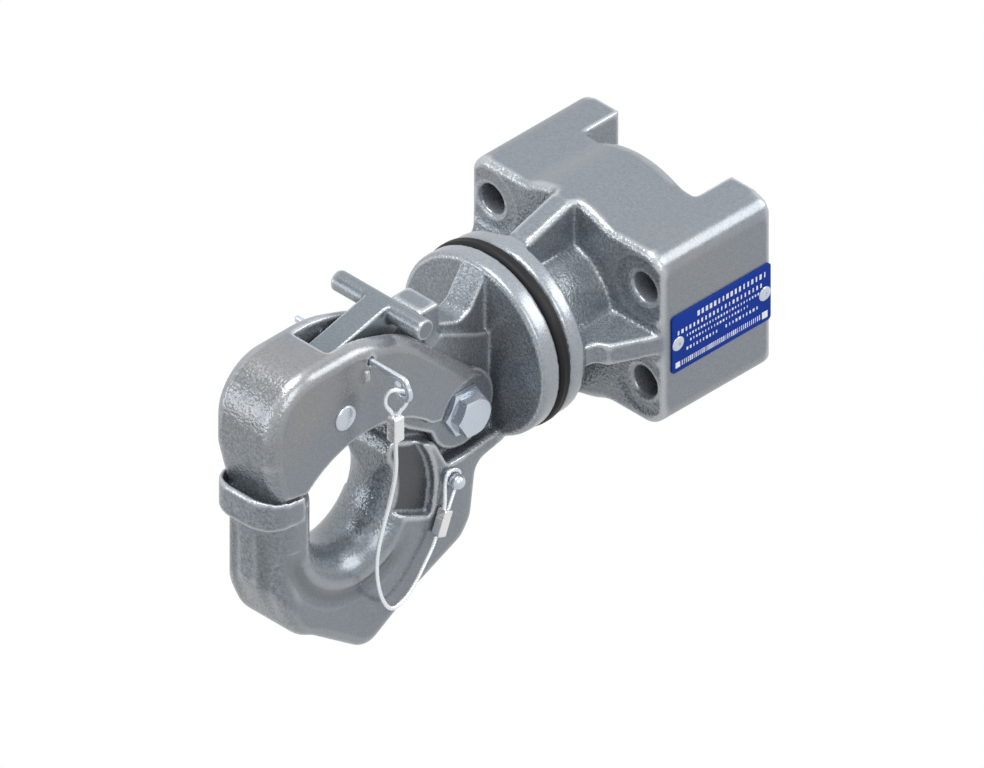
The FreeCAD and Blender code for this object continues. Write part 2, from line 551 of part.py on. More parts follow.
def make_latch():
    """Cast latch that straddles the hub, with its slot, ears and bores."""
    latch = Casting("Latch")
    front, top = -size("latch_front"), size("latch_top")
    centre = (-size("underside_back"), -size("underside_drop"))
    sweep, span = size("underside_radius"), 35.0
    toe = centre[1] + math.sqrt(sweep ** 2 - span ** 2)
    crown = centre[1] + sweep ** 2 / math.sqrt(sweep ** 2 - span ** 2)
    nose = top - 59.5
    shell = [(front + 6, nose, 0), (front, nose + 23, 10), (front, top, 24),
             (PIVOT[0] - 58.5, top, 50), (PIVOT[0] - 31.5, top - 9.5, 50),
             (PIVOT[0] + 10.5, PIVOT[1] + 12.5, 0), (PIVOT[0], PIVOT[1], 0),
             (centre[0] + span, toe, 0), (centre[0], crown, sweep),
             (centre[0] - span, toe, 0), (centre[0] - span - 1, nose, 2)]
    latch.pad("YZ_Plane", [tangent_path(shell)], "2 * latch_half_width", both=True)
    wide = size("latch_half_width")

    def outer_rim(edge):
        bounds = edge.BoundBox
        return (near(bounds.XMin, bounds.XMax) and near(abs(bounds.XMin), wide)
                and near(bounds.YMin, front, 0.05) and bounds.ZMin > nose + 10)

    latch.fillet("latch_round", outer_rim)
    recess = size("bolt_recess")
    for reverse, sign in ((False, "0 - "), (True, "")):
        latch.pocket("YZ_Plane", [circle(*PIVOT, recess)], "latch_half_width",
                     sign + "ear_half_width", reverse=reverse)
    latch.pad("YZ_Plane", [circle(*PIVOT, size("ear_radius"))], "2 * ear_half_width", both=True)
    band = [(PIVOT[0] + 2, PIVOT[1], 0), (PIVOT[0] - 9.5, PIVOT[1] - 14.7, 0),
            (PIVOT[0] - 16.5, PIVOT[1] - 4, 8), (PIVOT[0] - 30, PIVOT[1] + 5, 12),
            (PIVOT[0] - 47, PIVOT[1] + 20, 0), (PIVOT[0] - 25, PIVOT[1] + 28, 0)]
    latch.pad("YZ_Plane", [tangent_path(band)], "2 * ear_half_width", both=True)
    low, high = sweep - size("band_drop"), sweep + 3
    under = [around(centre, low, angle) for angle in (134, 95, 55)]
    over = [around(centre, high, angle) for angle in (55, 95, 134)]
    rim = [Part.Arc(*under), Part.LineSegment(under[2], over[0]), Part.Arc(*over),
           Part.LineSegment(over[2], under[0])]
    latch.pad("YZ_Plane", [rim], "2 * ear_half_width", both=True)
    clear = size("nose_gap")
    shoulder = [(front - 2, clear - size("lip_top"), 0), (THROAT[0] - 29, clear - size("lip_side"), 0),
                (THROAT[0] - 29, nose - 5, 0), (front - 2, nose - 5, 0)]
    for reverse, sign in ((False, "0 - "), (True, "")):
        latch.pocket("YZ_Plane", [tangent_path(shoulder)], "latch_half_width",
                     sign + "nose_half_width", reverse=reverse)

    slot, roof = -size("slot_front"), top - size("shell_wall")
    well = [(slot, top + 30, 0), (slot, roof, 0), (slot - 10, roof - 2, 3),
            (slot - 12, roof - 10, 3), (slot - 12, LEVER_PIVOT[1] - 5, 4),
            (slot - 2, LEVER_PIVOT[1] - 9, 3), (PIVOT[0] - 57.5, LEVER_PIVOT[1] - 7.5, 0),
            (PIVOT[0] - 57.5, -60, 0), (PIVOT[0] + 40, -60, 0), (PIVOT[0] + 40, top + 30, 0)]
    latch.pocket("YZ_Plane", [tangent_path(well)], "2 * cheek_inner", both=True)
    latch.pocket("YZ_Plane", [circle(*PIVOT, size("pivot_radius") + size("running_gap"))],
                 both=True)
    latch.pocket("YZ_Plane", [circle(*LEVER_PIVOT, size("lever_pin_radius"))], both=True)
    wire = size("wire_radius") + size("wire_gap")
    latch.pocket("YZ_Plane", [circle(*PIN, wire)], both=True)
    peg = [(PIN[0] - 4.1, PIN[1] - 8, 1.2), (PIN[0] - 1.5, PIN[1] - 8, 1.2),
           (PIN[0] - 1.5, PIN[1] - 2.6, 1.2), (PIN[0] - 4.1, PIN[1] - 2.6, 1.2)]
    latch.pad("YZ_Plane", [tangent_path(peg)], "peg_height", offset="latch_half_width - 0.5")
    keep("latch", latch.body)


def make_lever():
    """Locking lever with its cross bar, pin, spring and safety pin."""
    lever = Casting("Lever")
    sweep = size("catch_sweep")
    bar = (-size("bar_back"), size("bar_rise"))
    crest = size("lever_top")
    fall = (bar[1] + size("bar_radius") - crest) / (bar[0] - LEVER_PIVOT[0] - 0.9)
    tip = LEVER_PIVOT[0] - 6.1
    edge = [(tip, LEVER_PIVOT[1], 0), (tip, crest - 7 * fall, 3),
            (bar[0], bar[1] + size("bar_radius"), 0), (bar[0] + 4.4, bar[1] + 1, 2)]
    edge += [(*around(PIVOT, sweep, angle)[:2], 0) for angle in (117, 126)]
    edge += [(PIVOT[0] - 44, PIVOT[1] + 42.5, 6), (LEVER_PIVOT[0] + 8.5, LEVER_PIVOT[1] + 3, 6),
             (LEVER_PIVOT[0], LEVER_PIVOT[1], 0)]
    lever.pad("YZ_Plane", [tangent_path(edge)], "2 * lever_half_width", both=True)
    lever.pad("YZ_Plane", [circle(*LEVER_PIVOT, size("lever_boss"))], "2 * lever_half_width",
              both=True)
    lever.pad("YZ_Plane", [circle(*bar, size("bar_radius"))], "2 * bar_half_length", both=True)
    lever.pocket("YZ_Plane", [circle(*LEVER_PIVOT, size("lever_pin_radius")
                                     + size("running_gap"))], both=True)
    reach = math.dist(PIN, LEVER_PIVOT)
    start = math.degrees(math.atan2(PIN[1] - LEVER_PIVOT[1], PIN[0] - LEVER_PIVOT[0]))
    end, half = start - size("lever_swing") - 1, size("wire_radius") + size("wire_gap")
    first, last = around(LEVER_PIVOT, reach, start), around(LEVER_PIVOT, reach, end)
    outer = [around(LEVER_PIVOT, reach + half, angle) for angle in (start, (start + end) / 2, end)]
    inner = [around(LEVER_PIVOT, reach - half, angle) for angle in (end, (start + end) / 2, start)]
    slot = [Part.Arc(*outer), Part.Arc(outer[2], around(last, half, end - 90), inner[0]),
            Part.Arc(*inner), Part.Arc(inner[2], around(first, half, start + 90), outer[0])]
    lever.pocket("YZ_Plane", [slot], both=True)
    keep("lock_lever", lever.body)

    back, rise = "0 - lever_back", "lever_rise"
    shaft = cylinder("lever_shaft", "lever_pin_radius", "2 * latch_half_width",
                     ("0 - latch_half_width", back, rise), "X")
    ends = []
    for name, start in (("near", "latch_half_width"),
                        ("far", "0 - latch_half_width - rivet_head")):
        ends.append(cylinder("lever_head_" + name, "lever_head", "rivet_head",
                             (start, back, rise), "X"))
    keep("lever_pin", fuse("lever_pin_whole", [shaft] + ends))

    coils = []
    for name, sign in (("inner", " - "), ("outer", " + ")):
        coil = doc.addObject("Part::Torus", "spring_coil_" + name)
        bind(coil, "Radius1", "lever_pin_radius + 1.4 * spring_wire")
        bind(coil, "Radius2", "spring_wire")
        place(coil, ("(lever_half_width + cheek_inner) / 2" + sign + "0.75 * spring_wire",
                     back, rise), "X")
        coils.append(coil)
    keep("lever_spring", fuse("lever_spring_whole", coils))

    back, rise = "0 - pin_back", "pin_rise"
    rod = cylinder("pin_rod", "wire_radius", "pin_reach + pin_tail", ("0 - pin_tail", back, rise), "X")
    elbow = ball("pin_elbow", "wire_radius", ("pin_reach", back, rise))
    leg = cylinder("pin_leg", "wire_radius", "pin_eye_drop",
                   ("pin_reach", back, rise + " - pin_eye_drop"), "Z")
    eye = doc.addObject("Part::Torus", "pin_eye")
    bind(eye, "Radius1", "pin_eye")
    bind(eye, "Radius2", "0.8 * wire_radius")
    place(eye, ("pin_reach", back, rise + " - pin_eye_drop - pin_eye"), "Y")
    keep("safety_pin", fuse("safety_pin_whole", [rod, elbow, leg, eye]))


def make_pivot():
    """Pivot bolt through the hub, with its washers and nut."""
    back, drop = "0 - pivot_back", "0 - pivot_drop"
    face = "ear_half_width + running_gap"
    outer_near = hexagon("washer_near_outer", "1.2 * hex_width", "pivot_washer_thickness",
                         (face, back, drop), "X")
    start_far = "0 - " + face.replace("+", "-") + " - pivot_washer_thickness"
    outer_far = cylinder("washer_far_outer", "pivot_washer_radius", "pivot_washer_thickness",
                         (start_far, back, drop), "X")
    for node, start, outer in (("pivot_washer_near", face, outer_near),
                               ("pivot_washer_far", start_far, outer_far)):
        inner = cylinder(node + "_inner", "pivot_radius", "pivot_washer_thickness",
                         (start, back, drop), "X")
        keep(node, cut(node + "_ring", outer, inner))
    seat = face + " + pivot_washer_thickness"
    far = "0 - ear_half_width - running_gap - pivot_washer_thickness"
    head = hexagon("pivot_head", "hex_width", "head_height", (seat, back, drop), "X")
    shaft = cylinder("pivot_shaft", "pivot_radius",
                     "2 * (ear_half_width + running_gap + pivot_washer_thickness) + 1.4 * head_height",
                     (far + " - 1.4 * head_height", back, drop), "X")
    keep("pivot_bolt", fuse("pivot_bolt_whole", [head, shaft]))
    blank = hexagon("pivot_nut_blank", "hex_width", "1.2 * head_height",
                    (far + " - 1.2 * head_height", back, drop), "X")
    bore = cylinder("pivot_nut_bore", "pivot_radius", "1.2 * head_height",
                    (far + " - 1.2 * head_height", back, drop), "X")
    keep("pivot_nut", cut("pivot_nut_whole", blank, bore))


def make_plate():
    """Type plate on the right flank and its two rivets."""
    start = "0 - plate_rear - plate_length"
    middle = "plate_middle - plate_height / 2"
    sheet_metal = box("plate_sheet", "plate_thickness", "plate_length", "plate_height",
                      ("block_half_width", start, middle))
    keep("type_plate", sheet_metal)
    for node, back in (("plate_rivet_front", start + " + rivet_inset"),
                       ("plate_rivet_rear", "0 - plate_rear - rivet_inset")):
        rivet = cylinder(node + "_head", "rivet_radius", "0.8 * plate_thickness",
                         ("block_half_width + plate_thickness", back, "plate_middle"), "X")
        keep(node, rivet)


def tube(node, route, radius):
    """Round tube along straight runs joined by the largest tangent arcs that fit."""
    points = [FreeCAD.Vector(*point) for point in route]
    start, edges = points[0], []
    for before, here, after in zip(points, points[1:], points[2:]):
        back, ahead = before - here, after - here
        shorter = min(back.Length, ahead.Length)
        turn = math.pi - back.getAngle(ahead)
        bend = 0.45 * shorter / math.tan(turn / 2)
        print(f"{node}: bend radius {bend:.1f}")
        back.normalize()
        ahead.normalize()
        enter, leave = here + back * (0.45 * shorter), here + ahead * (0.45 * shorter)
        middle = (back + ahead).normalize()
        bulge = here + middle * (bend / math.cos(turn / 2) - bend)
        edges += [Part.LineSegment(start, enter).toShape(),
                  Part.Arc(enter, bulge, leave).toShape()]
        start = leave
    edges.append(Part.LineSegment(start, points[-1]).toShape())
    path = Part.Wire(edges)
    profile = Part.Wire(Part.Circle(points[0], points[1] - points[0], radius).toShape())
    item = doc.addObject("Part::Feature", node + "_tube")
    item.Shape = path.makePipeShell([profile], True, True)
    expected = math.pi * radius ** 2 * path.Length
    print(f"{node}: length {path.Length:.1f}, volume against section {item.Shape.Volume / expected:.4f}")
    return keep(node, item)


def make_tether():
    """Ball stud, wire rope, its two ferrules and its two end loops."""
    back, drop = "0 - stud_back", "0 - stud_drop"
    neck = cylinder("stud_neck", "stud_neck", "stud_out - stud_seat", ("stud_seat", back, drop), "X")
    head = ball("stud_head", "stud_ball", ("stud_out", back, drop))
    keep("cable_stud", fuse("stud_whole", [neck, head]))

    wide, tall, rope = size("ferrule_width"), size("ferrule_length"), size("cable_radius")
    mouth = (size("pin_reach") - size("ferrule_aside"), PIN[0],
             PIN[1] - size("pin_eye_drop") - size("pin_eye") - size("ferrule_below"))
    box("upper_sleeve", "ferrule_width", "ferrule_width", "ferrule_length",
        ("pin_reach - ferrule_aside - ferrule_width / 2", "0 - pin_back - ferrule_width / 2",
         "pin_rise - pin_eye_drop - pin_eye - ferrule_below - ferrule_length"))
    keep("upper_ferrule", doc.getObject("upper_sleeve"))
    aside, rise = size("ferrule_aside"), size("ferrule_below")
    loop = [(-0.6, -1.1, 0), (-0.6, -1.1, 1.6), (-2.1, -3.9, 5.6), (-1.2, -4.4, 11.8),
            (1.9, -3.2, 15.2), (aside, 0, rise), (aside, 2.8, 10.6), (2.5, 3.2, 4.8),
            (0.6, 1.1, 1.6), (0.6, 1.1, 0)]
    tube("upper_loop", [tuple(a + b for a, b in zip(mouth, step)) for step in loop], rope)

    stud = FreeCAD.Vector(size("stud_out") - 2.9, -size("stud_back"), -size("stud_drop"))
    lean = math.radians(size("ferrule_lean"))
    along = FreeCAD.Vector(0, math.sin(lean), math.cos(lean))
    side = FreeCAD.Vector(0, -math.cos(lean), math.sin(lean))
    shift = FreeCAD.Vector(size("ferrule_out") - stud.x, 0, 0)
    head = stud + shift - along * size("ferrule_below_stud")
    foot = head - along * tall
    sleeve = doc.addObject("Part::Box", "lower_sleeve")
    bind(sleeve, "Length", "ferrule_width * 0.86")
    bind(sleeve, "Width", "ferrule_width * 0.86")
    bind(sleeve, "Height", "ferrule_length")
    half = 0.43 * wide
    corner = foot + side * half - FreeCAD.Vector(half, 0, 0)
    sleeve.Placement = FreeCAD.Placement(corner, FreeCAD.Rotation(X_AXIS, -size("ferrule_lean")))
    keep("lower_ferrule", sleeve)
    ring = rope + size("stud_neck") + 0.8
    near_stud = [stud - along * 1.5 + side * ring, stud + along * ring + side * ring,
                 stud + along * ring - side * ring, stud - along * 1.5 - side * ring]
    leg = half - rope - 0.1
    tube("lower_loop", [head + side * leg, head + side * leg + along * 1.5] + near_stud
         + [head - side * leg + along * 1.5, head - side * leg], rope)

    exit_up = mouth[2] - tall
    route = [(*mouth[:2], exit_up), (*mouth[:2], exit_up - 4),
             (29.4, -184.4, -9.6), (27.8, -185.8, -23.4), (26.3, -188.4, -35.3), (24.8, -190.4, -48.1), (23.4, -189.6, -61.2),
             (22.2, -185.5, -74.9), (21.4, -179.5, -83.5), (20.9, -172.5, -83.2),
             (20.5, -165.6, -78.6), (20.2, -159.2, -70.8)]
    end = foot + side * leg
    tube("tether_cable", route + [tuple(end - along * 4), tuple(end)], rope)


def finish():
    """Check every object, then write the sub-parts."""
    doc.recompute()
    for item in doc.Objects:
        if "Invalid" in item.State or "Error" in item.State:
            raise RuntimeError(f"{item.Name} failed: {item.State}")
    os.makedirs("parts", exist_ok=True)
    for node, item in PARTS.items():
        shape = item.Shape
        if shape.isNull() or not shape.isValid() or len(shape.Solids) != 1:
            raise RuntimeError(f"{node} is not one valid solid")
        shape.exportStep(f"parts/{node}.step")
        print(f"{node:18s} volume {shape.Volume:10.1f}")


make_housing()
make_bearing()
make_hook()
make_latch()
make_lever()
make_pivot()
make_plate()
make_tether()
finish()
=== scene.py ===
"""Dressed scene of a hook coupling: castings, lever, fasteners, type plate and rope tether.

Everything is in metres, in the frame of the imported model: the swivel axis is Y, the hook points
to -Y, +Z is up and +X is the side that carries the type plate. Sizes are written in millimetres
and turned into metres where a mesh is made.
"""
from __future__ import annotations

import json
import logging
import math
from dataclasses import dataclass
from enum import Enum

import bmesh
import bpy
import numpy as np
from mathutils import Matrix, Vector
from mathutils.bvhtree import BVHTree

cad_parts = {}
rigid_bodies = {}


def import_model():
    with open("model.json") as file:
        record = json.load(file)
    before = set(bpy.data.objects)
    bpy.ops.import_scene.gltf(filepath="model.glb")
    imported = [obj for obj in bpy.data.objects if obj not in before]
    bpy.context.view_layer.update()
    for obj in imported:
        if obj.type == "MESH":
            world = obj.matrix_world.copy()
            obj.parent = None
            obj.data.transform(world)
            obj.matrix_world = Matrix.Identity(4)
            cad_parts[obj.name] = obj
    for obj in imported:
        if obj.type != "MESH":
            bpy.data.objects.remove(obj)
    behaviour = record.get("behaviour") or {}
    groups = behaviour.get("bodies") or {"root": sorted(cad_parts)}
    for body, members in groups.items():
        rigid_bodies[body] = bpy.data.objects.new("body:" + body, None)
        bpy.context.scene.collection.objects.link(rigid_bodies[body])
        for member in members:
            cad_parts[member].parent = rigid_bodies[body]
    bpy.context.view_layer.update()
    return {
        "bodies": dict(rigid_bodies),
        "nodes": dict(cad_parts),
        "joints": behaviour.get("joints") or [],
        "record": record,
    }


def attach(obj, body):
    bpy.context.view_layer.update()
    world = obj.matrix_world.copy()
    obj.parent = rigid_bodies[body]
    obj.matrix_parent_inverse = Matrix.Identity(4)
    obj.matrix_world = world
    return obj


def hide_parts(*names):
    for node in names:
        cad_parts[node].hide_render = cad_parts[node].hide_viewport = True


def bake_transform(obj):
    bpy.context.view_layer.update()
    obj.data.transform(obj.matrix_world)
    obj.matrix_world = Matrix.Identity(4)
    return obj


LOG = logging.getLogger("hook_coupling")
MM = 0.001
Point = tuple[float, float, float]
Colour = tuple[float, float, float]
Piece = bpy.types.Object
Mesh = bpy.types.Mesh
Material = bpy.types.Material
Node = bpy.types.Node
Socket = bpy.types.NodeSocket
Tree = bpy.types.NodeTree

CRISP = 35.0  # degrees between two faces above which their edge stays crisp
HEXAGON_STEPS = 72
CHAMFER_SHARE = 0.965  # of the distance across the flats, where a hexagon's chamfer starts
CHAMFER_SLOPE = math.tan(math.radians(28))
EASED = 0.12  # how far a hexagon's unchamfered edge is broken


# Meshes


@dataclass
class Shell:
    """Corner points in millimetres and the faces between them."""

    points: np.ndarray
    faces: list[list[int]]

    def __add__(self, other: Shell) -> Shell:
        """Join two shells.

        Args:
            other: The shell that is added.

        Returns:
            Both shells as one.
        """
        shift = len(self.points)
        moved = [[corner + shift for corner in face] for face in other.faces]
        return Shell(np.concatenate([self.points, other.points]), self.faces + moved)


def placed(name: str, data: bpy.types.ID) -> Piece:
    """Put an object that holds a mesh, a curve, a camera or a lamp in the scene.

    Args:
        name: Name of the object.
        data: What it holds.

    Returns:
        The new object, at the origin.
    """
    item = bpy.data.objects.new(name, data)
    bpy.context.scene.collection.objects.link(item)
    return item


def new_object(name: str, shell: Shell, material: Material,
               sharp: float = CRISP) -> Piece:
    """Make a closed mesh object at the origin, its faces turned outwards.

    Args:
        name: Name of the piece.
        shell: Its shape in millimetres.
        material: Finish of the whole piece.
        sharp: Angle in degrees above which an edge stays crisp.

    Returns:
        The new object, linked to the scene.
    """
    mesh = bpy.data.meshes.new(name)
    mesh.from_pydata([tuple(point) for point in shell.points * MM], [], shell.faces)
    mesh.materials.append(material)
    outward(mesh)
    shade(mesh, sharp)
    return placed(name, mesh)


def shade(mesh: Mesh, sharp: float) -> None:
    """Shade a mesh smooth, apart from edges above an angle in degrees."""
    mesh.polygons.foreach_set("use_smooth", [True] * len(mesh.polygons))
    mesh.set_sharp_from_angle(angle=math.radians(sharp))


def outward(mesh: Mesh) -> None:
    """Merge doubles and turn every face outwards.

    Args:
        mesh: The mesh that is put right.
    """
    work = bmesh.new()
    work.from_mesh(mesh)
    bmesh.ops.remove_doubles(work, verts=work.verts, dist=1e-6)
    bmesh.ops.dissolve_degenerate(work, edges=work.edges, dist=1e-7)
    bmesh.ops.recalc_face_normals(work, faces=work.faces)
    work.to_mesh(mesh)
    work.free()


def evaluated_mesh(piece: Piece) -> Mesh:
    """Mesh of an object with its modifiers worked out."""
    graph = bpy.context.evaluated_depsgraph_get()
    return bpy.data.meshes.new_from_object(piece.evaluated_get(graph))


def lofted(rings: list[np.ndarray], capped: bool = True, closed: bool = False) -> Shell:
    """Join rings of equal point count.

    Args:
        rings: The rings in order, each an array of points.
        capped: True to close the first and the last ring with a face.
        closed: True to join the last ring to the first.

    Returns:
        The shell through the rings.
    """
    sides = len(rings[0])
    faces = []
    pairs = len(rings) if closed else len(rings) - 1
    for ring in range(pairs):
        low, high = ring * sides, ((ring + 1) % len(rings)) * sides
        for side in range(sides):
            following = (side + 1) % sides
            faces.append([low + side, low + following, high + following, high + side])
    if capped and not closed:
        faces.append(list(range(sides))[::-1])
        faces.append([(len(rings) - 1) * sides + side for side in range(sides)])
    return Shell(np.concatenate(rings), faces)


def moved(shell: Shell, place: Matrix) -> Shell:
    """Shell turned and shifted by a matrix in millimetres."""
    turn = np.array(place.to_3x3())
    return Shell(shell.points @ turn.T + np.array(place.translation), shell.faces)


def round_angles(steps: int) -> np.ndarray:
    """Evenly spaced angles of one full turn."""
    return np.arange(steps) * math.tau / steps


def ramp(values: np.ndarray, start: float, span: float) -> np.ndarray:
    """Rise from 0 at the start to 1 a span further on."""
    return np.clip((values - start) / span, 0, 1)


def run_along(points: np.ndarray) -> np.ndarray:
    """Length of a path up to each of its points."""
    return np.concatenate([[0], np.cumsum(np.linalg.norm(np.diff(points, axis=0), axis=1))])


def evenly(points: np.ndarray, count: int) -> np.ndarray:
    """Set points at even distances along a path.

    Args:
        points: The path.
        count: Number of points.

    Returns:
        The even points.
    """
    run = run_along(points)
    even = np.linspace(0, run[-1], count)
    return np.column_stack([np.interp(even, run, points[:, axis]) for axis in range(3)])


def turned(profile: list[tuple[float, float]], place: Matrix, steps: int = 64) -> Shell:
    """Turn a profile about the local Z axis.

    Args:
        profile: Radius and height pairs, from the axis back to the axis, or a closed loop
            where it never meets the axis.
        place: Where the local frame sits.
        steps: Number of steps round the axis.

    Returns:
        The closed round shell.
    """
    angles = round_angles(steps)
    rings = [np.column_stack([np.cos(angles) * radius, np.sin(angles) * radius,
                              np.full(steps, height)]) for radius, height in profile]
    hollow = min(radius for radius, _ in profile) > 0
    return moved(lofted(rings, capped=False, closed=hollow), place)


def hexagonal(width: float, height: float, place: Matrix, bore: float = 0.0,
              both_ends: bool = False) -> Shell:
    """Hexagon head, nut or washer with its turned chamfer.

    Args:
        width: Distance across the flats.
        height: Height along the local Z axis.
        place: Where the local frame sits.
        bore: Radius of a through hole, 0 for none.
        both_ends: True to chamfer the lower end too.

    Returns:
        The closed shell.
    """
    angles = round_angles(HEXAGON_STEPS)
    across = width / 2 / np.cos((angles + math.pi / 6) % (math.pi / 3) - math.pi / 6)
    face = width / 2 * CHAMFER_SHARE
    slope = (across - face) * CHAMFER_SLOPE
    foot, low = (face, slope) if both_ends else (across - EASED, EASED)
    profile = [(bore, 0.0), (foot, 0.0), (across, low), (across, height - slope),
               (face, height), (bore, height)]
    rings = [np.column_stack([np.cos(angles) * radius, np.sin(angles) * radius,
                              np.full(HEXAGON_STEPS, 1.0) * level]) for radius, level in profile]
    return moved(lofted(rings, capped=False, closed=bore > 0), place)


def along_x(x: float, y: float, z: float, side: int = 1) -> Matrix:
    """Place whose local Z points to +X, or to -X where side is -1."""
    return Matrix.Translation((x, y, z)) @ Matrix.Rotation(math.radians(90 * side), 4, "Y")


def along_y(x: float, y: float, z: float) -> Matrix:
    """Place whose local Z points to +Y."""
    return Matrix.Translation((x, y, z)) @ Matrix.Rotation(math.radians(-90), 4, "X")


def rounded_rectangle(length: float, height: float, corner: float, steps: int = 8) -> np.ndarray:
    """Draw a rectangle with round corners about the origin.

    Args:
        length: Its size along the first axis.
        height: Its size along the second axis.
        corner: Radius of its corners.
        steps: Number of points on each corner.

    Returns:
        The outline, as two columns.
    """
    outline = []
    for quarter, (across, up) in enumerate(((1, 1), (-1, 1), (-1, -1), (1, -1))):
        for angle in np.linspace(0, math.pi / 2, steps) + quarter * math.pi / 2:
            outline.append((across * (length / 2 - corner) + corner * math.cos(angle),
                            up * (height / 2 - corner) + corner * math.sin(angle)))
    return np.array(outline)


def frames(points: np.ndarray) -> tuple[np.ndarray, np.ndarray]:
    """Two directions across a path at each of its points, carried along without twist.

    Args:
        points: The path, one row per point.

    Returns:
        The first and second cross direction, one row per point.
    """
    ahead = np.gradient(points, axis=0)
    ahead /= np.linalg.norm(ahead, axis=1)[:, None]
    first = np.cross(ahead[0], (0.0, 1.0, 0.02))
    across = [first / np.linalg.norm(first)]
    for here in ahead[1:]:
        carried = across[-1] - here * np.dot(across[-1], here)
        across.append(carried / np.linalg.norm(carried))
    first_axis = np.array(across)
    return first_axis, np.cross(ahead, first_axis)


def swept(points: np.ndarray, section: np.ndarray, lay: float = 0.0) -> Shell:
    """Sweep a closed section along a path.

    Args:
        points: The path.
        section: Points of the section, in the plane across the path.
        lay: Length of path for one full turn of the section, 0 for none.

    Returns:
        The tube, closed at its ends.
    """
    one, two = frames(points)
    run = run_along(points)
    turns = run * (math.tau / lay) if lay else run * 0
    rings = []
    for point, a, b, turn in zip(points, one, two, turns):
        cos, sin = math.cos(turn), math.sin(turn)
        x = section[:, 0] * cos - section[:, 1] * sin
        y = section[:, 0] * sin + section[:, 1] * cos
        rings.append(point + np.outer(x, a) + np.outer(y, b))
    return lofted(rings)


def smooth_route(name: str, route: list[Point], gap: float = 0.25) -> np.ndarray:
    """Points along a NURBS curve that follows a route.

    Args:
        name: Name for the curve while it is measured.
        route: Control points in millimetres.
        gap: Distance between the points in millimetres.

    Returns:
        Evenly spaced points in millimetres.
    """
    curve = bpy.data.curves.new(name, "CURVE")
    curve.dimensions = "3D"
    curve.resolution_u = 24
    spline = curve.splines.new("NURBS")
    spline.points.add(len(route) - 1)
    for point, place in zip(spline.points, route):
        point.co = (*(value * MM for value in place), 1.0)
    spline.order_u = 3
    spline.use_endpoint_u = True
    holder = placed(name, curve)
    mesh = evaluated_mesh(holder)
    line = np.array([vertex.co for vertex in mesh.vertices], float) / MM
    bpy.data.objects.remove(holder)
    bpy.data.meshes.remove(mesh)
    return evenly(line, max(8, int(run_along(line)[-1] / gap)))


# Node trees


class Graph:
    """A node tree that is built up node by node."""

    def __init__(self, tree: Tree) -> None:
        """Start with a tree."""
        self.tree = tree

    def node(self, kind: str, **settings: object) -> Node:
        """Add a node and set its options.

        Args:
            kind: Type of the node.
            settings: Value of each option.

        Returns:
            The new node.
        """
        item = self.tree.nodes.new(kind)
        for name, value in settings.items():
            setattr(item, name, value)
        return item

    def join(self, source: object, target: Socket) -> None:
        """Link a socket to another one, or write a value into it.

        Args:
            source: The socket or the value that goes in.
            target: The socket that takes it.
        """
        if isinstance(source, Socket):
            self.tree.links.new(source, target)
        else:
            target.default_value = source

    def maths(self, operation: str, *values: object) -> Socket:
        """Work out a sum.

        Args:
            operation: Name of the sum.
            values: Sockets or numbers that go in.

        Returns:
            The sum's result.
        """
        item = self.node("ShaderNodeMath", operation=operation)
        for socket, value in zip(item.inputs, values):
            self.join(value, socket)
        return item.outputs["Value"]


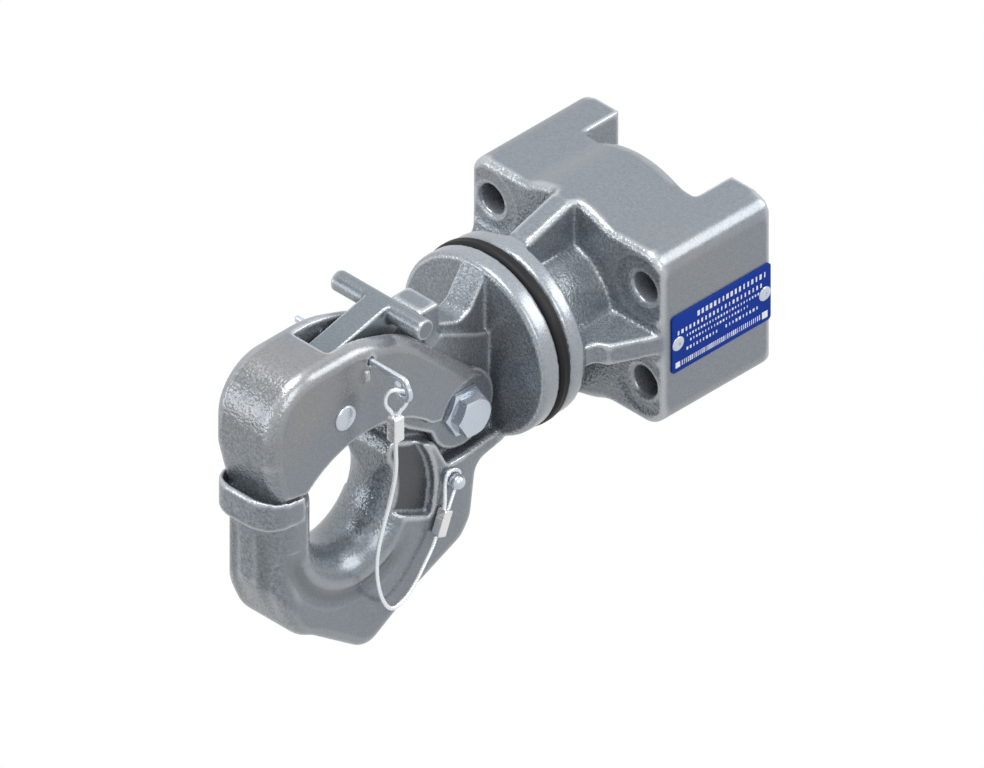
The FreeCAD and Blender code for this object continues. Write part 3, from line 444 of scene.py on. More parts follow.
class Repeat(Graph):
    """A Geometry Nodes tree with named inputs, for what repeats or follows a rule."""

    def __init__(self, name: str) -> None:
        """Start an empty tree with a geometry input and output.

        Args:
            name: Name of the tree.
        """
        super().__init__(bpy.data.node_groups.new(name, "GeometryNodeTree"))
        self.tree.is_modifier = True
        for way in ("INPUT", "OUTPUT"):
            self.tree.interface.new_socket("Geometry", in_out=way,
                                           socket_type="NodeSocketGeometry")
        self.entry = self.node("NodeGroupInput")
        self.exit = self.node("NodeGroupOutput")
        self.identifiers: dict[str, str] = {}

    def size(self, name: str, kind: str = "Float") -> Socket:
        """Add a named input.

        Args:
            name: Name of the input.
            kind: Kind of value that it takes.

        Returns:
            Its socket inside the tree.
        """
        item = self.tree.interface.new_socket(name, in_out="INPUT",
                                              socket_type="NodeSocket" + kind)
        self.identifiers[name] = item.identifier
        return self.entry.outputs[name]

    def row(self, count: Socket, pitch: Socket) -> Socket:
        """Set points in a row along X.

        Args:
            count: Number of points.
            pitch: Distance from each to the next.

        Returns:
            The points.
        """
        step = self.node("ShaderNodeCombineXYZ")
        self.join(pitch, step.inputs["X"])
        line = self.node("GeometryNodeMeshLine", mode="OFFSET")
        self.join(count, line.inputs["Count"])
        self.join(step.outputs["Vector"], line.inputs["Offset"])
        return line.outputs["Mesh"]

    def set_on(self, points: Socket, item: Socket, **options: Socket) -> Socket:
        """Set the same item on every point.

        Args:
            points: Where the items go.
            item: The item.
            options: Further inputs, such as Scale.

        Returns:
            All the items.
        """
        place = self.node("GeometryNodeInstanceOnPoints")
        for name, value in {"Points": points, "Instance": item, **options}.items():
            self.join(value, place.inputs[name])
        return place.outputs["Instances"]

    def random(self, low: Socket, high: Socket, seed: Socket) -> Socket:
        """Draw a random number for each point.

        Args:
            low: Least number.
            high: Greatest number.
            seed: Seed of the draw.

        Returns:
            The numbers.
        """
        item = self.node("FunctionNodeRandomValue", data_type="FLOAT")
        limits = {socket.name: socket for socket in item.inputs if socket.enabled}
        for name, value in (("Min", low), ("Max", high), ("Seed", seed)):
            self.join(value, limits[name])
        return next(socket for socket in item.outputs if socket.enabled)

    def finish(self, geometry: Socket, material: Material) -> None:
        """Realize the instances and give everything its material.

        Args:
            geometry: What the tree has made.
            material: Its finish.
        """
        real = self.node("GeometryNodeRealizeInstances")
        paint = self.node("GeometryNodeSetMaterial")
        paint.inputs["Material"].default_value = material
        self.join(geometry, real.inputs["Geometry"])
        self.join(real.outputs["Geometry"], paint.inputs["Geometry"])
        self.join(paint.outputs["Geometry"], self.exit.inputs["Geometry"])

    def grow(self, name: str, material: Material, values: dict[str, object],
             place: Matrix, sharp: float = CRISP) -> Piece:
        """Run the tree on an empty mesh and keep the result as a plain mesh.

        Args:
            name: Name of the piece.
            material: Finish of the piece.
            values: Value of each named input.
            place: Where the tree's own frame sits, in millimetres.
            sharp: Angle in degrees above which an edge stays crisp.

        Returns:
            The new piece at the origin, its place in its mesh.
        """
        holder = placed(name + "_seed", bpy.data.meshes.new(name + "_seed"))
        modifier = holder.modifiers.new("repeat", "NODES")
        modifier.node_group = self.tree
        for label, value in values.items():
            modifier[self.identifiers[label]] = value
        mesh = evaluated_mesh(holder)
        bpy.data.objects.remove(holder)
        mesh.transform(Matrix.Scale(MM, 4) @ place)
        mesh.name = name
        mesh.materials.clear()
        mesh.materials.append(material)
        outward(mesh)
        shade(mesh, sharp)
        return placed(name, mesh)


class Surface(Graph):
    """A material's node tree, with the kinds of node that the finishes share."""

    def __init__(self, name: str) -> None:
        """Start a material.

        Args:
            name: Name of the material.
        """
        self.material = bpy.data.materials.new(name)
        self.material.use_nodes = True
        super().__init__(self.material.node_tree)
        self.shader = self.tree.nodes["Principled BSDF"]

    def attribute(self, name: str) -> Socket:
        """Value of a mesh attribute."""
        return self.node("ShaderNodeAttribute", attribute_name=name).outputs["Fac"]

    def noise(self, vector: Socket, scale: float, detail: float) -> Socket:
        """Add a noise.

        Args:
            vector: Where it is read.
            scale: Its scale per metre.
            detail: How many finer layers it has.

        Returns:
            The noise, around 0.5.
        """
        item = self.node("ShaderNodeTexNoise")
        for name, value in (("Scale", scale), ("Detail", detail), ("Vector", vector)):
            self.join(value, item.inputs[name])
        return item.outputs["Fac"]

    def ranged(self, value: Socket, source: tuple[float, float], target: tuple[float, float]
               ) -> Socket:
        """Map a value from one range to another, held inside the target.

        Args:
            value: The value.
            source: Its own range.
            target: The range that it is mapped to.

        Returns:
            The mapped value.
        """
        item = self.node("ShaderNodeMapRange")
        for name, number in zip(("From Min", "From Max", "To Min", "To Max", "Value"),
                                (*source, *target, value)):
            self.join(number, item.inputs[name])
        return item.outputs["Result"]

    def blend(self, value: Socket, base: Socket | Colour, colour: Colour) -> Socket:
        """Lay a colour over another one where a value is high.

        Args:
            value: How much of the upper colour shows.
            base: The lower colour.
            colour: The upper colour.

        Returns:
            The blended colour.
        """
        item = self.node("ShaderNodeMix", data_type="RGBA")
        factor, below, above = item.inputs[0], item.inputs[6], item.inputs[7]
        self.join(base if isinstance(base, Socket) else (*base, 1.0), below)
        self.join((*colour, 1.0), above)
        self.join(value, factor)
        return item.outputs[2]


# Finishes


class Slot(Enum):
    """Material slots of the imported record."""

    CAST = "cast_steel"
    FORGED = "forged_steel"
    ZINC = "zinc_steel"
    ROPE = "wire_rope"
    FERRULE = "ferrule_alloy"
    BRONZE = "bronze"
    RUBBER = "seal_rubber"
    PLATE = "plate_blue"


@dataclass(frozen=True)
class Finish:
    """A surface with drifting colour, speckled grain, painted highlights on its edges and painted
    shade in its hollows.

    The castings carry four attributes: edge, above 0 on convex edges, where a highlight is painted;
    hollow, 1 where the shape shelters the surface, where shade is painted; coarse, 1 on as-cast
    skin; and machined, 1 on turned faces. A mesh without them counts as 0 everywhere.
    """

    name: str
    colour: Colour
    drift_colour: Colour
    # colour of the painted highlight on convex edges
    edge_highlight_colour: Colour
    # colour of the painted shade in sheltered hollows
    shade_colour: Colour
    metallic: float
    roughness: float
    roughness_swing: float = 0.08
    drift_scale: float = 22.0
    drift_range: tuple[float, float] = (0.4, 0.64)
    grain_scale: float = 900.0
    grain_depth: float = 0.12
    speckle: float = 0.15
    brush: tuple[float, float, float] = (1.0, 1.0, 1.0)
    specular: float = 0.5
    machined_colour: Colour = (0.31, 0.335, 0.365)
    pit_scale: float = 1.7
    # range of the edge measure, and how much painted highlight it gives
    highlight_range: tuple[float, float] = (0.25, 0.95)
    highlight_cover: float = 0.6
    smooth_bump: float = 0.08
    smooth_speckle: float = 0.25
    bump_height: float = 0.6 * MM

    def build(self) -> Material:
        """Make the material's nodes.

        Returns:
            The material.
        """
        surface = Surface(self.name)
        inputs = surface.shader.inputs
        inputs["Metallic"].default_value = self.metallic
        inputs["Specular IOR Level"].default_value = self.specular
        place = surface.node("ShaderNodeTexCoord").outputs["Object"]
        stretch = surface.node("ShaderNodeMapping")
        stretch.inputs["Scale"].default_value = self.brush
        surface.join(place, stretch.inputs["Vector"])
        brushed = stretch.outputs["Vector"]
        drift = surface.noise(place, self.drift_scale, 3)
        grain = surface.noise(brushed, self.grain_scale, 0.6)
        pits = surface.noise(brushed, self.grain_scale * self.pit_scale, 0)
        relief = surface.maths("ADD", grain, pits)
        coarse = surface.attribute("coarse")

        surface.join(self.coloured(surface, drift, relief, coarse), inputs["Base Color"])
        low, high = self.roughness - self.roughness_swing, self.roughness + self.roughness_swing
        surface.join(surface.ranged(pits, (0.3, 0.7), (low, high)), inputs["Roughness"])
        bump = surface.node("ShaderNodeBump")
        bump.inputs["Distance"].default_value = self.bump_height
        depth = surface.ranged(coarse, (0.0, 1.0),
                               (self.grain_depth * self.smooth_bump, self.grain_depth))
        surface.join(depth, bump.inputs["Strength"])
        surface.join(relief, bump.inputs["Height"])
        surface.join(bump.outputs["Normal"], inputs["Normal"])
        return surface.material

    def coloured(self, surface: Surface, drift: Socket, relief: Socket, coarse: Socket
                 ) -> Socket:
        """Mix the finish's colour.

        Args:
            surface: The material's tree.
            drift: Slow noise between the two main colours.
            relief: Grain and pits.
            coarse: 1 on as-cast skin, where the speckle is strongest.

        Returns:
            The colour.
        """
        mixed = surface.blend(surface.ranged(drift, self.drift_range, (0.0, 1.0)),
                              self.colour, self.drift_colour)
        mixed = surface.blend(surface.attribute("machined"), mixed, self.machined_colour)
        swing = surface.ranged(relief, (0.6, 1.4), (-1.0, 1.0))
        strength = surface.ranged(coarse, (0.0, 1.0),
                                  (self.speckle * self.smooth_speckle, self.speckle))
        speckled = surface.node("ShaderNodeVectorMath", operation="SCALE")
        surface.join(mixed, speckled.inputs[0])
        surface.join(surface.maths("MULTIPLY_ADD", swing, strength, 1.0),
                     speckled.inputs["Scale"])
        # painted shade: sheltered places darkened towards the shade colour
        mixed = surface.blend(surface.attribute("hollow"), speckled.outputs["Vector"],
                              self.shade_colour)
        # painted highlight: convex edges lightened towards the edge highlight colour
        bright = surface.ranged(surface.attribute("edge"), self.highlight_range,
                                (0.0, self.highlight_cover))
        return surface.blend(bright, mixed, self.edge_highlight_colour)


# each finish gives its colour, its drift colour, its painted edge highlight colour and its painted
# shade colour, then metallic, roughness and roughness swing
FINISHES = {
    Slot.CAST: Finish("galvanised_casting", (0.222, 0.246, 0.272), (0.268, 0.258, 0.25),
                      (0.6, 0.625, 0.65), (0.03, 0.032, 0.036), 0.5, 0.27, 0.05,
                      drift_scale=15.0, drift_range=(0.56, 0.84), grain_scale=640.0,
                      grain_depth=0.38, speckle=0.28),
    Slot.FORGED: Finish("zinc_plated_forging", (0.165, 0.195, 0.218), (0.18, 0.205, 0.226),
                        (0.6, 0.63, 0.66), (0.05, 0.054, 0.058), 0.5, 0.28, 0.05,
                        grain_scale=900.0, grain_depth=0.15, speckle=0.14),
    Slot.ZINC: Finish("bright_zinc", (0.53, 0.59, 0.66), (0.58, 0.62, 0.68), (0.85, 0.87, 0.9),
                      (0.2, 0.21, 0.23), 0.68, 0.24, 0.04, grain_scale=900.0,
                      grain_depth=0.02, speckle=0.04),
    Slot.ROPE: Finish("stranded_wire", (0.84, 0.87, 0.9), (0.78, 0.81, 0.84),
                      (0.9, 0.9, 0.92), (0.35, 0.36, 0.38), 0.75, 0.28, 0.05,
                      grain_scale=2500.0, grain_depth=0.05, speckle=0.1),
    Slot.FERRULE: Finish("pressed_alloy", (0.72, 0.75, 0.79), (0.8, 0.78, 0.77),
                         (0.9, 0.91, 0.93), (0.3, 0.31, 0.33), 0.7, 0.27, 0.06,
                         drift_scale=120.0, grain_scale=900.0, grain_depth=0.04,
                         speckle=0.06),
    Slot.BRONZE: Finish("bearing_bronze", (0.5, 0.33, 0.14), (0.42, 0.27, 0.11),
                        (0.7, 0.5, 0.28), (0.2, 0.13, 0.06), 0.7, 0.32, 0.06,
                        brush=(1.0, 9.0, 1.0), grain_depth=0.08),
    Slot.RUBBER: Finish("seal_rubber_black", (0.01, 0.01, 0.011), (0.015, 0.015, 0.017),
                        (0.05, 0.05, 0.055), (0.005, 0.005, 0.006), 0.0, 0.5, 0.06,
                        grain_scale=1400.0, grain_depth=0.06, speckle=0.2, specular=0.2),
    Slot.PLATE: Finish("plate_enamel", (0.001, 0.03, 0.27), (0.001, 0.034, 0.3),
                       (0.2, 0.25, 0.5), (0.004, 0.012, 0.1), 0.0, 0.42, 0.05,
                       grain_scale=1500.0, grain_depth=0.03, speckle=0.06, specular=0.1),
}
PRINT = Finish("plate_print", (0.86, 0.88, 0.9), (0.8, 0.82, 0.85), (0.9, 0.9, 0.92),
               (0.5, 0.5, 0.52), 0.0, 0.5, 0.05, grain_depth=0.03, speckle=0.05)


class Paintbox:
    """Holds each finish's material, made once."""

    def __init__(self) -> None:
        """Build every material."""
        self.materials = {slot: finish.build() for slot, finish in FINISHES.items()}
        self.print = PRINT.build()

    def __getitem__(self, slot: Slot) -> Material:
        """Material of a slot."""
        return self.materials[slot]


@dataclass
class Assembly:
    """What every sub-assembly needs: the frame's nodes and the finishes."""

    frame: dict
    paints: Paintbox

    def settle(self, piece: Piece, slot: Slot, body: str, *nodes: str) -> None:
        """Put a finished piece on its body and hide the nodes it stands for.

        Args:
            piece: The piece.
            slot: Its material slot; not used.
            body: Body that it rides on.
            nodes: CAD nodes that it stands for.
        """
        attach(piece, body)
        if nodes:
            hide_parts(*nodes)
        LOG.info("%s rides on %s, %d faces", piece.name, body, len(piece.data.polygons))

    def make(self, name: str, shell: Shell, slot: Slot, body: str, *nodes: str,
             sharp: float = CRISP) -> Piece:
        """Make a piece from a shell and settle it on its body.

        Args:
            name: Name of the piece.
            shell: Its shape in millimetres.
            slot: Finish and material slot.
            body: Body that it rides on.
            nodes: CAD nodes that it stands for.
            sharp: Angle in degrees above which an edge stays crisp.

        Returns:
            The finished piece.
        """
        piece = new_object(name, shell, self.paints[slot], sharp)
        self.settle(piece, slot, body, *nodes)
        return piece

    def paint_node(self, node: str, slot: Slot) -> None:
        """Give a CAD node that stays its finish.

        Args:
            node: Name of the node.
            slot: Its finish.
        """
        piece = self.frame["nodes"][node]
        piece.data.materials.clear()
        piece.data.materials.append(self.paints[slot])
        LOG.info("%s keeps its shape, in %s", node, slot.value)


# Studio


@dataclass
class Studio:
    """Camera, pale floor, soft lamps and world."""

    azimuth: float = 45.0
    elevation: float = 35.264
    centre: Point = (0.0, -0.10186, -0.0239)
    width: float = 0.38664
    distance: float = 1.5
    far_clip: float = 20.0
    floor_level: float = -0.45
    floor_half: float = 6.0
    floor_colour: Colour = (0.6, 0.59, 0.57)
    floor_roughness: float = 0.9
    sky_colour: Colour = (0.93, 0.96, 1.0)
    sky_strength: float = 0.35
    lamp_width: float = 0.6
    lamps: tuple[tuple[str, Point, float], ...] = (
        ("key_lamp", (-0.1, -0.3, 1.0), 9.0),
        ("rim_lamp", (0.62, 0.55, 0.6), 5.0),
        ("side_lamp", (0.85, -0.4, 0.6), 3.6),
        ("front_lamp", (-0.5, -1.05, 0.15), 3.0),
    )

    def build(self) -> None:
        """Make the camera, the floor, the lamps and the world."""
        self.make_camera()
        self.make_floor()
        for name, place, power in self.lamps:
            self.make_lamp(name, place, power)
        self.make_world()
        bpy.context.scene.view_settings.view_transform = "Standard"
        LOG.info("studio with %d lamps", len(self.lamps))

    def make_camera(self) -> None:
        """Parallel camera at the photograph's viewing angle."""
        turn, rise = math.radians(self.azimuth), math.radians(self.elevation)
        back = Vector((math.sin(turn) * math.cos(rise), -math.cos(turn) * math.cos(rise),
                       math.sin(rise)))
        data = bpy.data.cameras.new("camera")
        data.type = "ORTHO"
        data.ortho_scale = self.width
        data.clip_end = self.far_clip
        camera = placed("camera", data)
        self.aim(camera, Vector(self.centre) + back * self.distance)
        bpy.context.scene.camera = camera

    def aim(self, item: Piece, place: Vector) -> None:
        """Set a camera or a lamp somewhere and turn it to the part's middle.

        Args:
            item: The camera or lamp.
            place: Where it goes.
        """
        item.location = place
        item.rotation_euler = (Vector(self.centre) - place).to_track_quat("-Z", "Y").to_euler()

    def make_lamp(self, name: str, place: Point, power: float) -> None:
        """Make a soft square lamp that faces the part's middle.

        Args:
            name: Name of the lamp.
            place: Where it stands.
            power: Its power in watts.
        """
        data = bpy.data.lights.new(name, "AREA")
        data.energy = power
        data.size = self.lamp_width
        self.aim(placed(name, data), Vector(place))

    @staticmethod
    def whiten(graph: Graph, lit: Socket, kind: str, output: str) -> None:
        """Show white to camera, glossy and transmission rays, and the lit shader to all others.

        Args:
            graph: The tree of the material or the world.
            lit: Its plain shader.
            kind: Type of node that gives the white.
            output: Name of its output node.
        """
        path = graph.node("ShaderNodeLightPath")
        direct = path.outputs["Is Camera Ray"]
        for ray in ("Is Glossy Ray", "Is Transmission Ray"):
            direct = graph.maths("MAXIMUM", direct, path.outputs[ray])
        white = graph.node(kind)
        white.inputs["Color"].default_value = (1.0, 1.0, 1.0, 1.0)
        mix = graph.node("ShaderNodeMixShader")
        graph.join(direct, mix.inputs["Fac"])
        graph.join(lit, mix.inputs[1])
        graph.join(white.outputs[0], mix.inputs[2])
        graph.join(mix.outputs["Shader"], graph.tree.nodes[output].inputs["Surface"])

    def make_floor(self) -> None:
        """Wide pale floor that the camera sees as white."""
        half, level = self.floor_half / MM, self.floor_level / MM
        corners = np.array([(-half, -half, level), (half, -half, level), (half, half, level),
                            (-half, half, level)])
        surface = Surface("pale_floor")
        surface.shader.inputs["Base Color"].default_value = (*self.floor_colour, 1.0)
        surface.shader.inputs["Roughness"].default_value = self.floor_roughness
        self.whiten(surface, surface.shader.outputs["BSDF"], "ShaderNodeEmission",
                    "Material Output")
        floor = new_object("floor", Shell(corners, [[0, 1, 2, 3]]), surface.material)

    def make_world(self) -> None:
        """Soft grey light all round, white where it is seen directly."""
        world = bpy.data.worlds.new("soft_room")
        bpy.context.scene.world = world
        world.use_nodes = True
        sky = world.node_tree.nodes["Background"]
        sky.inputs["Color"].default_value = (*self.sky_colour, 1.0)
        sky.inputs["Strength"].default_value = self.sky_strength
        self.whiten(Graph(world.node_tree), sky.outputs["Background"], "ShaderNodeBackground",
                    "World Output")


# Castings


@dataclass
class Casting(Assembly):
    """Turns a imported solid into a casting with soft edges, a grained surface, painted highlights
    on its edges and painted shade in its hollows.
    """

    voxel: float = 0.82 * MM
    rounds: int = 4
    rim_rounds: int = 8
    # edge_rounds and edge_gain measure convex edges for the painted highlight
    edge_rounds: int = 5
    edge_gain: float = 0.13 * MM
    # shade_start: shelter above which painted shade begins
    shade_start: float = 0.5
    reach: float = 45 * MM
    rays: int = 20
    seed: int = 7
    lean_out: float = 1.02
    sample_step: int = 7
    spread_rounds: int = 14
    # gain and cap of the painted shade in sheltered places
    shade_gain: float = 1.1
    shade_cap: float = 0.75
    coarse_gain: float = 1.2
    coarse_cap: float = 0.6
    facing_ramp: tuple[float, float] = (0.3, 0.4)
    turned_smoothness: float = 0.75
    # turned_softness: how much less painted highlight machined faces get
    turned_softness: float = 0.7
    disc_edge: float = 38.6
    disc_span: tuple[float, float] = (88.0, 114.0)
    hole: tuple[float, float] = (42.5, 22.5)
    hole_edge: float = 8.0
    lug_depth: float = 61.0
    face_depth: float = 0.6

    def cast(self, node: str, name: str, slot: Slot) -> Piece:
        """Remesh a node's solid evenly, soften it and mark its edges and hollows.

        Args:
            node: CAD node whose shape is taken.
            name: Name of the new piece.
            slot: Finish of the piece.

        Returns:
            The new piece, not yet on a body.
        """
        piece = placed(name, self.frame["nodes"][node].data.copy())
        outward(piece.data)
        remesh = piece.modifiers.new("even", "REMESH")
        remesh.mode = "VOXEL"
        remesh.voxel_size = self.voxel
        mesh = evaluated_mesh(piece)
        piece.modifiers.clear()
        piece.data = mesh
        points, links = self.neighbours(mesh)
        points = self.relax(points, links, self.rounds)
        even = self.relax(points, links, self.rim_rounds)
        points += (even - points) * self.machined(points, np.zeros(points.shape))[:, None]
        normals = self.settle_points(mesh, points)
        points = points - normals * self.hollowed(points, normals)[:, None]
        self.mark(mesh, points, self.settle_points(mesh, points), links)
        mesh.polygons.foreach_set("use_smooth", [True] * len(mesh.polygons))
        mesh.materials.clear()
        mesh.materials.append(self.paints[slot])
        return piece

    def mark(self, mesh: Mesh, points: np.ndarray, normals: np.ndarray, links: tuple) -> None:
        """Keep how much painted highlight and painted shade each vertex gets, and how coarse and
        machined it is, for the finish to read.

        Args:
            mesh: The casting's mesh.
            points: Its vertices.
            normals: Their normals.
            links: Edge ends and edge counts.
        """
        flow = self.relax(points, links, self.edge_rounds)
        lift = np.einsum("ij,ij->i", points - flow, normals) / self.edge_gain
        shelter = self.shelter(mesh, points, normals, links)
        machined = self.machined(points, normals)
        skin = np.maximum(ramp(np.abs(normals[:, 1]), *self.facing_ramp),
                          np.clip(shelter * self.coarse_gain, 0, self.coarse_cap))
        # painted shade: darker where the shape's own ray-cast shelter is high
        painted_shade = np.clip(shelter * self.shade_gain - self.shade_start, 0, self.shade_cap)
        # edge carries the painted highlight on convex edges; hollow carries the painted shade in
        # sheltered places
        marks = {"edge": np.clip(lift, 0, 1) * (1 - self.turned_softness * machined),
                 "hollow": np.maximum(painted_shade * (1 - machined), self.shaded_recesses(points, normals)),
                 "coarse": skin * (1 - self.turned_smoothness * machined),
                 "machined": machined}
        for label, values in marks.items():
            attribute = mesh.attributes.new(label, "FLOAT", "POINT")
            attribute.data.foreach_set("value", values.astype(np.float32))

    @staticmethod
    def neighbours(mesh: Mesh) -> tuple[np.ndarray, tuple]:
        """Read a mesh's vertices and how they are joined.

        Args:
            mesh: The mesh.

        Returns:
            The vertices, and the two ends of every edge with each vertex's edge count.
        """
        points = np.zeros(len(mesh.vertices) * 3)
        mesh.vertices.foreach_get("co", points)
        ends = np.zeros(len(mesh.edges) * 2, np.int64)
        mesh.edges.foreach_get("vertices", ends)
        first, second = ends[0::2], ends[1::2]
        count = len(mesh.vertices)
        degree = np.bincount(first, minlength=count) + np.bincount(second, minlength=count)
        return points.reshape(-1, 3), (first, second, np.maximum(degree, 1))

    @staticmethod
    def relax(values: np.ndarray, links: tuple, rounds: int) -> np.ndarray:
        """Move each vertex's row halfway to the mean of its neighbours', several times.

        Args:
            values: One row per vertex.
            links: Edge ends and edge counts.
            rounds: Number of times.

        Returns:
            The evened rows.
        """
        first, second, degree = links
        count = len(values)
        for _ in range(rounds):
            mean = np.empty_like(values)
            for axis in range(values.shape[1]):
                column = values[:, axis]
                mean[:, axis] = (np.bincount(first, column[second], count)
                                 + np.bincount(second, column[first], count)) / degree
            values = values + 0.5 * (mean - values)
        return values

    def shelter(self, mesh: Mesh, points: np.ndarray, normals: np.ndarray,
                links: tuple) -> np.ndarray:
        """How much the shape itself shelters each vertex, from 0 in the open to 1.

        Args:
            mesh: The shape.
            points: Its vertices.
            normals: Their normals.
            links: Edge ends and edge counts.

        Returns:
            One number per vertex.
        """
        tree = BVHTree.FromPolygons([tuple(point) for point in points],
                                    [tuple(face.vertices) for face in mesh.polygons])
        spin = np.random.default_rng(self.seed)
        directions = spin.normal(size=(self.rays, 3))
        directions /= np.linalg.norm(directions, axis=1)[:, None]
        known = np.zeros((len(points), 2))
        for index in range(0, len(points), self.sample_step):
            normal = Vector(normals[index])
            start = Vector(points[index]) + normal * self.voxel
            struck = 0
            for direction in directions:
                ray = Vector(direction) + normal * self.lean_out
                if tree.ray_cast(start, ray.normalized(), self.reach)[0] is not None:
                    struck += 1
            known[index] = (struck / self.rays, 1.0)
        known = self.relax(known, links, self.spread_rounds)
        return known[:, 0] / np.maximum(known[:, 1], 1e-6)

    @staticmethod
    def settle_points(mesh: Mesh, points: np.ndarray) -> np.ndarray:
        """Move a mesh's vertices to new places.

        Args:
            mesh: The mesh.
            points: The new places.

        Returns:
            The vertices' new normals.
        """
        mesh.vertices.foreach_set("co", points.astype(np.float32).ravel())
        mesh.update()
        normals = np.zeros(len(points) * 3, np.float32)
        mesh.vertex_normals.foreach_get("vector", normals)
        return normals.reshape(-1, 3)

    def hollowed(self, points: np.ndarray, normals: np.ndarray) -> np.ndarray:
        """How far each vertex is sunk along its normal to give soft relief; none here."""
        return np.zeros(len(points))

    def shaded_recesses(self, points: np.ndarray, normals: np.ndarray) -> np.ndarray:
        """How dark the painted shade lies in a casting's own recesses; none here."""
        return np.zeros(len(points))

    def machined(self, points: np.ndarray, normals: np.ndarray) -> np.ndarray:
        """Find what is turned or milled: the discs' rims, the bolt holes and the rear face.

        Args:
            points: The vertices.
            normals: Their normals.

        Returns:
            1 for each machined vertex and 0 for each of the others.
        """
        x, y, z = np.abs(points.T) / MM
        rear, front = self.disc_span
        rim = (np.hypot(x, z) > self.disc_edge) & (y < front) & (y > rear)
        across, up = self.hole
        holes = (np.hypot(x - across, z - up) < self.hole_edge) & (y < self.lug_depth)
        face = (y < self.face_depth) & (normals[:, 1] > 0.8)
        return (rim | holes | face).astype(float)


@dataclass
class Housing(Casting):
    """Bolted bearing housing with its bushes, seal and grease nipple."""

    voxel: float = 0.95 * MM
    # painted shade starts only where the housing is deeply sheltered
    shade_start: float = 0.95
    seal_front: float = -103.25
    seal_profile: tuple = ((30.2, 0.1), (38.0, 0.1), (39.5, 0.5), (40.3, 1.4), (40.4, 2.2),
                           (40.05, 3.0), (40.4, 3.8), (40.3, 4.6), (39.5, 5.5), (38.0, 5.9),
                           (30.2, 5.9))
    nipple: Point = (33.0, -45.0, -41.0)
    nipple_width: float = 7.0
    nipple_profile: tuple = ((0.0, 3.4), (2.1, 3.4), (1.9, 5.2), (1.4, 5.8), (1.4, 6.4),
                             (2.35, 7.0), (2.5, 7.6), (1.7, 8.9), (0.7, 9.4), (0.55, 9.1),
                             (0.0, 9.1))

    def build(self) -> None:
        """Cast the housing and finish what sits in it."""
        piece = self.cast("bearing_housing", "housing_casting", Slot.CAST)
        self.settle(piece, Slot.CAST, "housing", "bearing_housing")
        seal = turned(list(self.seal_profile), along_y(0.0, self.seal_front, 0.0), 144)
        self.make("seal_lip", seal, Slot.RUBBER, "housing", "dust_seal", sharp=50.0)
        for node in ("front_bush", "rear_bush", "thrust_washer"):
            self.paint_node(node, Slot.BRONZE)
        down = Matrix.Translation(self.nipple) @ Matrix.Rotation(math.pi, 4, "X")
        nipple = (hexagonal(self.nipple_width, self.nipple_width / 2, down)
                  + turned(list(self.nipple_profile), down, 32))
        self.make("nipple_fitting", nipple, Slot.ZINC, "housing", "grease_nipple")


